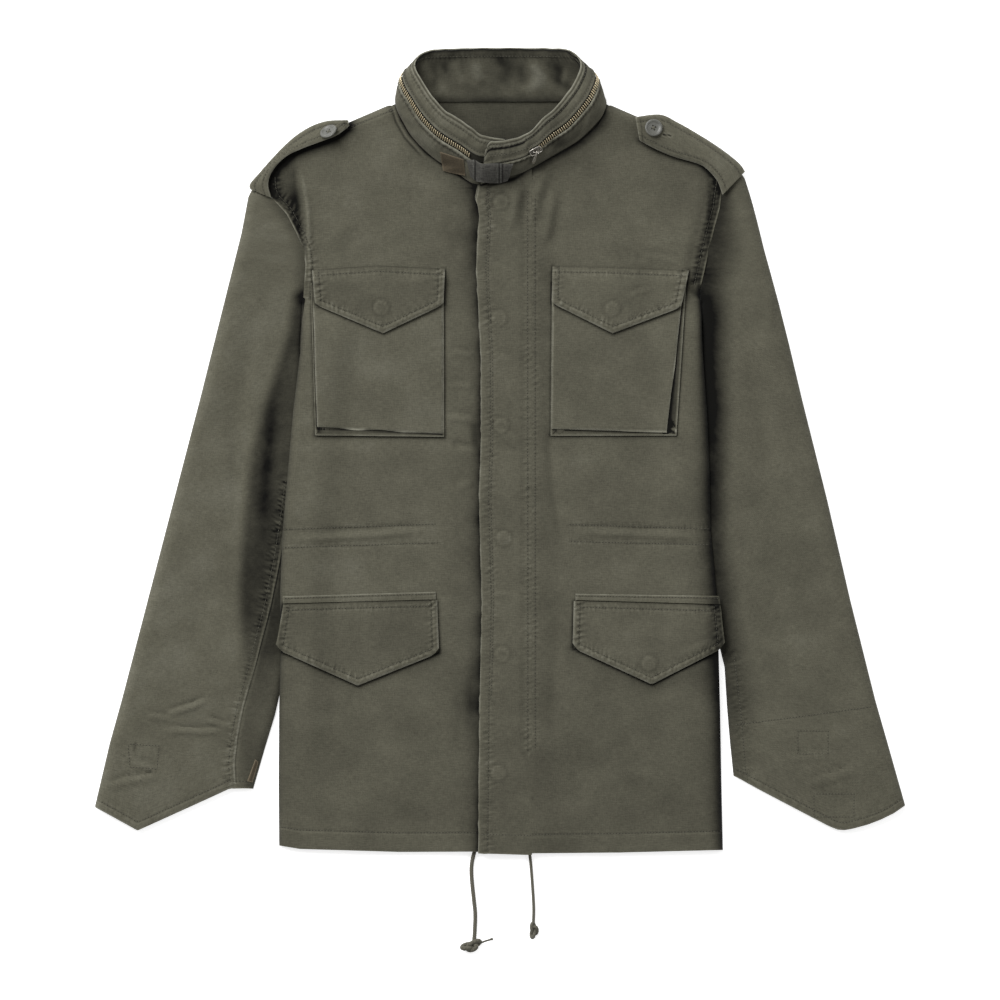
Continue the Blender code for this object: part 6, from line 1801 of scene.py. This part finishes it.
def wear_and_painted_light_group():
    """Mixes the dye by the piece's tone, with uneven dye added: lighter towards the light colour for worn
    edges and painted highlights, darker towards the painted shade colour for painted shade.
    """
    if "Worn dye and painted light" in bpy.data.node_groups:
        return bpy.data.node_groups["Worn dye and painted light"]
    tree, given, out = group("Worn dye and painted light",
                             [("Dye", "NodeSocketColor", None), ("Rubbed and lit", "NodeSocketColor", None),
                                          ("Painted shade", "NodeSocketColor", None),
                                          ("Tone", "NodeSocketFloat", 0.0),
                                          ("Grain", "NodeSocketVector", None)],
                             [("Color", "NodeSocketColor"), ("Rub and highlight", "NodeSocketFloat")])
    uneven = total(tree, streaks(tree, given.outputs["Grain"], (0.018, 0.021, 1.0), 0.6, 4.0),
                   streaks(tree, given.outputs["Grain"], (0.16, 0.16, 1.0), 0.2))
    tone = maths(tree, "ADD", given.outputs["Tone"], uneven)
    light = maths(tree, "MAXIMUM", tone, 0.0, clamp=True)
    dark = maths(tree, "MAXIMUM", maths(tree, "MULTIPLY", tone, -1.0), 0.0, clamp=True)
    colour = mixed(tree, light, given.outputs["Dye"], given.outputs["Rubbed and lit"])
    tree.links.new(mixed(tree, dark, colour, given.outputs["Painted shade"]), out.inputs["Color"])
    tree.links.new(light, out.inputs["Rub and highlight"])
    return tree


def named_material(name):
    made = bpy.data.materials.new(name)
    made.use_nodes = True
    tree = made.node_tree
    return made, tree, tree.nodes["Principled BSDF"]


def cloth_material(name, dye, rubbed_and_lit, painted_shade, roughness=0.88, depth=0.5, contrast=0.75):
    made, tree, shader = named_material(name)
    grain = put(tree, "ShaderNodeAttribute", attribute_name="weave").outputs["Vector"]
    tone = put(tree, "ShaderNodeAttribute", attribute_name="tone")
    sewn = put(tree, "ShaderNodeAttribute", attribute_name="sewn")
    weave = put(tree, "ShaderNodeGroup", node_tree=weave_group())
    tree.links.new(grain, weave.inputs["Grain"])
    weave.inputs["Contrast"].default_value = contrast
    gathers = put(tree, "ShaderNodeGroup", node_tree=gather_group())
    tree.links.new(sewn.outputs["Vector"], gathers.inputs["Sewn"])
    wear_and_painted_light = put(tree, "ShaderNodeGroup", node_tree=wear_and_painted_light_group())
    for label, colour in (("Dye", dye), ("Rubbed and lit", rubbed_and_lit), ("Painted shade", painted_shade)):
        wear_and_painted_light.inputs[label].default_value = (*colour, 1.0)
    # The seam gathers' ridges are added to the tone too: painted light and shade on the gathers.
    tree.links.new(total(tree, tone.outputs["Fac"], maths(tree, "MULTIPLY", gathers.outputs[0], 0.55)),
                   wear_and_painted_light.inputs["Tone"])
    tree.links.new(grain, wear_and_painted_light.inputs["Grain"])
    shaded = put(tree, "ShaderNodeVectorMath", {0: wear_and_painted_light.outputs["Color"], 1: weave.outputs["Shade"]},
                 operation="MULTIPLY")
    tree.links.new(shaded.outputs[0], shader.inputs["Base Color"])
    rough = maths(tree, "SUBTRACT", roughness, maths(tree, "MULTIPLY", wear_and_painted_light.outputs["Rub and highlight"], 0.1))
    tree.links.new(rough, shader.inputs["Roughness"])
    height = total(tree, maths(tree, "MULTIPLY", weave.outputs["Height"], 0.1), gathers.outputs[0])
    bump = put(tree, "ShaderNodeBump", {"Height": height, "Strength": depth, "Distance": 0.002})
    tree.links.new(bump.outputs[0], shader.inputs["Normal"])
    shader.inputs["Specular IOR Level"].default_value = 0.08
    shader.inputs["Sheen Weight"].default_value = 0.05
    shader.inputs["Sheen Roughness"].default_value = 0.6
    return made


def metal_material(name, bright, dull, roughness, scale=900.0):
    made, tree, shader = named_material(name)
    place = put(tree, "ShaderNodeTexCoord")
    spots = put(tree, "ShaderNodeTexNoise",
                {"Vector": place.outputs["Object"], "Scale": scale, "Detail": 3.0})
    worn = put(tree, "ShaderNodeMapRange", {"Value": spots.outputs[0], "From Min": 0.38, "From Max": 0.62})
    tree.links.new(mixed(tree, worn.outputs[0], (*dull, 1.0), (*bright, 1.0)), shader.inputs["Base Color"])
    rough = put(tree, "ShaderNodeMapRange",
                {"Value": spots.outputs[0], "To Min": roughness + 0.15, "To Max": roughness - 0.1})
    tree.links.new(rough.outputs[0], shader.inputs["Roughness"])
    bump = put(tree, "ShaderNodeBump", {"Height": spots.outputs[0], "Strength": 0.25, "Distance": 0.0001})
    tree.links.new(bump.outputs[0], shader.inputs["Normal"])
    shader.inputs["Metallic"].default_value = 1.0
    return made


def plain_material(name, low, high, roughness, scale=500.0, depth=0.2, stretch=(1, 1, 1)):
    made, tree, shader = named_material(name)
    place = put(tree, "ShaderNodeTexCoord")
    mapped = put(tree, "ShaderNodeMapping", {"Vector": place.outputs["Object"], "Scale": stretch})
    spots = put(tree, "ShaderNodeTexNoise", {"Vector": mapped.outputs[0], "Scale": scale, "Detail": 4.0})
    tree.links.new(mixed(tree, spots.outputs[0], (*low, 1.0), (*high, 1.0)), shader.inputs["Base Color"])
    bump = put(tree, "ShaderNodeBump", {"Height": spots.outputs[0], "Strength": depth, "Distance": 0.0002})
    tree.links.new(bump.outputs[0], shader.inputs["Normal"])
    rough = put(tree, "ShaderNodeMapRange",
                {"Value": spots.outputs[0], "To Min": roughness - 0.05, "To Max": roughness + 0.05})
    tree.links.new(rough.outputs[0], shader.inputs["Roughness"])
    return made


def hook_material(name):
    """Hook-and-loop pile: short tangled fibres."""
    made, tree, shader = named_material(name)
    place = put(tree, "ShaderNodeTexCoord")
    tone = put(tree, "ShaderNodeAttribute", attribute_name="tone")
    cells = put(tree, "ShaderNodeTexVoronoi", {"Vector": place.outputs["Object"], "Scale": 1100.0})
    fibres = put(tree, "ShaderNodeTexNoise",
                 {"Vector": place.outputs["Object"], "Scale": 700.0, "Detail": 4.0})
    pile = mixed(tree, fibres.outputs[0], (0.022, 0.017, 0.01, 1), (0.09, 0.069, 0.039, 1))
    edge = mixed(tree, maths(tree, "MAXIMUM", tone.outputs["Fac"], 0.0, clamp=True), pile,
                 (0.22, 0.18, 0.12, 1))
    tree.links.new(edge, shader.inputs["Base Color"])
    bump = put(tree, "ShaderNodeBump", {"Height": cells.outputs["Distance"], "Strength": 0.6,
                                        "Distance": 0.0003})
    tree.links.new(bump.outputs[0], shader.inputs["Normal"])
    shader.inputs["Roughness"].default_value = 0.95
    return made


def braid_material(name):
    made, tree, shader = named_material(name)
    weave = put(tree, "ShaderNodeAttribute", attribute_name="weave")
    split = put(tree, "ShaderNodeSeparateXYZ", {0: weave.outputs["Vector"]})
    fibres = put(tree, "ShaderNodeTexNoise", {"Vector": weave.outputs["Vector"], "Scale": 3.0, "Detail": 4.0})
    # The colour darkens between the braid's raised strands: painted shade.
    strand = maths(tree, "MULTIPLY", split.outputs["Z"], fibres.outputs[0])
    colour = mixed(tree, maths(tree, "MULTIPLY", strand, 1.6, clamp=True), (0.03, 0.028, 0.02, 1),
                   (0.14, 0.132, 0.1, 1))
    tree.links.new(colour, shader.inputs["Base Color"])
    bump = put(tree, "ShaderNodeBump", {"Height": strand, "Strength": 0.5, "Distance": 0.0003})
    tree.links.new(bump.outputs[0], shader.inputs["Normal"])
    shader.inputs["Roughness"].default_value = 0.9
    return made


FINISHES = {}


def finish_of(name):
    """The material of one of the jacket's finishes, made at its first use."""
    if name in FINISHES:
        return FINISHES[name]
    colours = bpy.context.scene.jacket_colours
    olive = np.array(colours.sateen)
    makers = {
        # The third colour of each cloth is its painted shade colour.
        "sateen": lambda: cloth_material("Olive sateen", olive, np.array(colours.rubbed_and_lit), olive * 0.03),
        "lining": lambda: cloth_material("Olive lining", olive * 0.78, np.array(colours.rubbed_and_lit) * 0.9,
                                         olive * 0.05),
        # The tape's dark dye is partly its own colour and partly painted shade in its sunk groove.
        "tape": lambda: cloth_material("Zip tape", olive * 0.2, olive * 0.7, olive * 0.05),
        "webbing": lambda: cloth_material("Charcoal webbing", (0.064, 0.062, 0.055), (0.12, 0.12, 0.108),
                                          (0.006, 0.006, 0.005), contrast=1.7),
        # Dark olive for the painted shadow of the needle holes.
        "hole": lambda: plain_material("Needle hole shadows", olive * 0.2, olive * 0.35, 0.95, 900.0),
        "thread": lambda: plain_material("Sewing thread", olive * 0.75, olive * 1.35, 0.7, 3000.0),
        "hook": lambda: hook_material("Brown hook tape"),
        "braid": lambda: braid_material("Olive braid"),
        "brass": lambda: metal_material("Antique brass", (0.84, 0.74, 0.52), (0.5, 0.42, 0.27), 0.45),
        "steel": lambda: metal_material("Worn steel", (0.66, 0.63, 0.57), (0.36, 0.34, 0.3), 0.36),
        "dull steel": lambda: metal_material("Dull steel", (0.24, 0.23, 0.2), (0.09, 0.085, 0.075), 0.45),
        "horn": lambda: plain_material("Grey-green button", (0.062, 0.062, 0.054), (0.115, 0.115, 0.1), 0.4,
                                       350.0, 0.12),
    }
    FINISHES[name] = makers[name]()
    return FINISHES[name]


# Settings, operators and panel

class JacketColours(bpy.types.PropertyGroup):
    """Colours of the jacket's cloth."""
    sateen: bpy.props.FloatVectorProperty(name="Sateen", description="Dye of the cotton sateen",
                                          subtype="COLOR",
                                          size=3, min=0.0, max=1.0, default=(0.0925, 0.0885, 0.0645))
    # The light colour serves worn edges and painted highlights alike.
    rubbed_and_lit: bpy.props.FloatVectorProperty(name="Rubbed and lit", description="Where edges are worn light",
                                          subtype="COLOR",
                                          size=3, min=0.0, max=1.0, default=(0.205, 0.2, 0.16))


class JacketStage(bpy.types.PropertyGroup):
    """Floor and light of the studio."""
    floor: bpy.props.FloatProperty(name="Floor brightness", description="Grey level of the floor", min=0.0,
                                   max=1.0,
                                   default=0.9, subtype="FACTOR")
    key: bpy.props.FloatProperty(name="Key light", description="Power of the large soft light", min=0.0,
                                 default=1080.0, unit="POWER")
    sky: bpy.props.FloatProperty(name="Fill", description="Strength of the even light from all round",
                                 min=0.0,
                                 default=0.31)


class JACKET_OT_stage(bpy.types.Operator):
    """Lay out the floor, the soft lights and the camera above the jacket"""
    bl_idname = "jacket.stage"
    bl_label = "Stage"

    def execute(self, context):
        scene, stage = context.scene, context.scene.jacket_stage
        bpy.ops.mesh.primitive_plane_add(size=8.0, location=(0, 0, -0.0003))
        floor = context.object
        floor.name = "floor"
        floor.data.materials.append(plain_material("Pale floor", (stage.floor,) * 3,
                                                   (stage.floor * 0.985,) * 3, 0.9, 3.0, 0.0))
        glow = floor.data.materials[0].node_tree.nodes["Principled BSDF"].inputs
        glow["Emission Color"].default_value = (1.0, 1.0, 1.0, 1.0)
        glow["Emission Strength"].default_value = 0.66
        camera = bpy.data.objects.new("camera", bpy.data.cameras.new("camera"))
        scene.collection.objects.link(camera)
        camera.data.type, camera.data.ortho_scale = "ORTHO", 1.0
        camera.location = (0.0, -0.049, 2.4)
        scene.camera = camera
        for name, place, aim, size, power in (
                ("key", (-4.2, 5.4, 6.2), (0, 0, 0), 6.0, stage.key),
                ("side", (6.0, 2.0, 6.5), (0, 0, 0), 5.0, stage.key * 0.12)):
            lamp = bpy.data.lights.new(name, "AREA")
            lamp.size, lamp.energy = size, power
            light = bpy.data.objects.new(name, lamp)
            light.location = place
            light.rotation_euler = (Vector(aim) - Vector(place)).to_track_quat("-Z", "Y").to_euler()
            scene.collection.objects.link(light)
        world = bpy.data.worlds.new("studio")
        world.use_nodes = True
        world.node_tree.nodes["Background"].inputs[0].default_value = (1.0, 1.0, 1.0, 1.0)
        world.node_tree.nodes["Background"].inputs[1].default_value = stage.sky
        scene.world = world
        scene.view_settings.view_transform = "Standard"
        return {"FINISHED"}


class JACKET_OT_drawcords(bpy.types.Operator):
    """Lay the two hem drawcords with their knots"""
    bl_idname = "jacket.drawcords"
    bl_label = "Drawcords"

    def execute(self, context):
        build_drawcords(finish_of("braid"))
        return {"FINISHED"}


class JACKET_OT_body(bpy.types.Operator):
    """Lay the back and the two fronts"""
    bl_idname = "jacket.body"
    bl_label = "Body"

    def execute(self, context):
        build_back(finish_of("lining"))
        for side in SIDES:
            build_front(side, finish_of("sateen"))
        return {"FINISHED"}


class JACKET_OT_sleeves(bpy.types.Operator):
    """Lay the upper and under halves of both sleeves"""
    bl_idname = "jacket.sleeves"
    bl_label = "Sleeves"

    def execute(self, context):
        for side in SIDES:
            build_sleeve(side, finish_of("sateen"))
        build_cuff_pad(finish_of("hook"))
        return {"FINISHED"}


class JACKET_OT_storm_flap(bpy.types.Operator):
    """Lay the storm flap over the front closing"""
    bl_idname = "jacket.storm_flap"
    bl_label = "Storm flap"

    def execute(self, context):
        build_storm_flap(finish_of("sateen"))
        return {"FINISHED"}


class JACKET_OT_collar(bpy.types.Operator):
    """Stand the collar with its hood zip"""
    bl_idname = "jacket.collar"
    bl_label = "Collar and hood zip"

    def execute(self, context):
        build_collar(finish_of("sateen"), finish_of("lining"))
        build_hood_zip(finish_of("tape"), finish_of("brass"))
        build_slider(finish_of("steel"), finish_of("dull steel"))
        build_pull(finish_of("steel"))
        return {"FINISHED"}


class JACKET_OT_pockets(bpy.types.Operator):
    """Lay the four pockets with their flaps"""
    bl_idname = "jacket.pockets"
    bl_label = "Pockets"

    def execute(self, context):
        swell = GUSSET_WALL + FACE_WALL + 2 * LAY_CLEAR + POCKET_CROWN
        for side in SIDES:
            build_chest_pocket(side, finish_of("sateen"))
            build_flap("chest", side, CHEST_FLAP[side], swell, FLAP_SNAPS["chest"][side], finish_of("sateen"))
            build_welt(side, finish_of("sateen"))
            build_flap("lower", side, LOWER_FLAP[side], 0.0, FLAP_SNAPS["lower"][side], finish_of("sateen"))
        return {"FINISHED"}


class JACKET_OT_epaulettes(bpy.types.Operator):
    """Lay the epaulettes and button them"""
    bl_idname = "jacket.epaulettes"
    bl_label = "Epaulettes"

    def execute(self, context):
        for side in SIDES:
            build_epaulette(side, finish_of("sateen"))
            build_button(side, finish_of("horn"), finish_of("thread"))
        return {"FINISHED"}


class JACKET_OT_throat_tab(bpy.types.Operator):
    """Lay the throat tab's pad and strap over the collar's ends"""
    bl_idname = "jacket.throat_tab"
    bl_label = "Throat tab"

    def execute(self, context):
        build_throat_tab(finish_of("hook"), finish_of("webbing"))
        return {"FINISHED"}


class JACKET_OT_stitching(bpy.types.Operator):
    """Sew the rows of stitches on the finished cloth"""
    bl_idname = "jacket.stitching"
    bl_label = "Stitching"

    def execute(self, context):
        build_stitching(finish_of("thread"), finish_of("hole"))
        return {"FINISHED"}


STEPS = (JACKET_OT_stage, JACKET_OT_drawcords, JACKET_OT_body, JACKET_OT_sleeves, JACKET_OT_storm_flap,
         JACKET_OT_collar, JACKET_OT_pockets, JACKET_OT_epaulettes, JACKET_OT_throat_tab, JACKET_OT_stitching)


class JACKET_PT_builder(bpy.types.Panel):
    """Lists the jacket's pieces"""
    bl_label = "Field jacket"
    bl_idname = "JACKET_PT_builder"
    bl_space_type = "VIEW_3D"
    bl_region_type = "UI"
    bl_category = "Jacket"

    def draw(self, context):
        layout = self.layout
        for settings, names in ((context.scene.jacket_colours, ("sateen", "rubbed_and_lit")),
                                (context.scene.jacket_stage, ("floor", "key", "sky"))):
            for name in names:
                layout.prop(settings, name)
        for step in STEPS:
            layout.operator(step.bl_idname)


CLASSES = (JacketColours, JacketStage, *STEPS, JACKET_PT_builder)


def register():
    for made in CLASSES:
        bpy.utils.register_class(made)
    bpy.types.Scene.jacket_colours = bpy.props.PointerProperty(type=JacketColours)
    bpy.types.Scene.jacket_stage = bpy.props.PointerProperty(type=JacketStage)


def unregister():
    del bpy.types.Scene.jacket_stage
    del bpy.types.Scene.jacket_colours
    for made in reversed(CLASSES):
        bpy.utils.unregister_class(made)


def main():
    register()
    for step in STEPS:
        family, name = step.bl_idname.split(".")
        getattr(getattr(bpy.ops, family), name)()


if __name__ == "__main__":
    main()
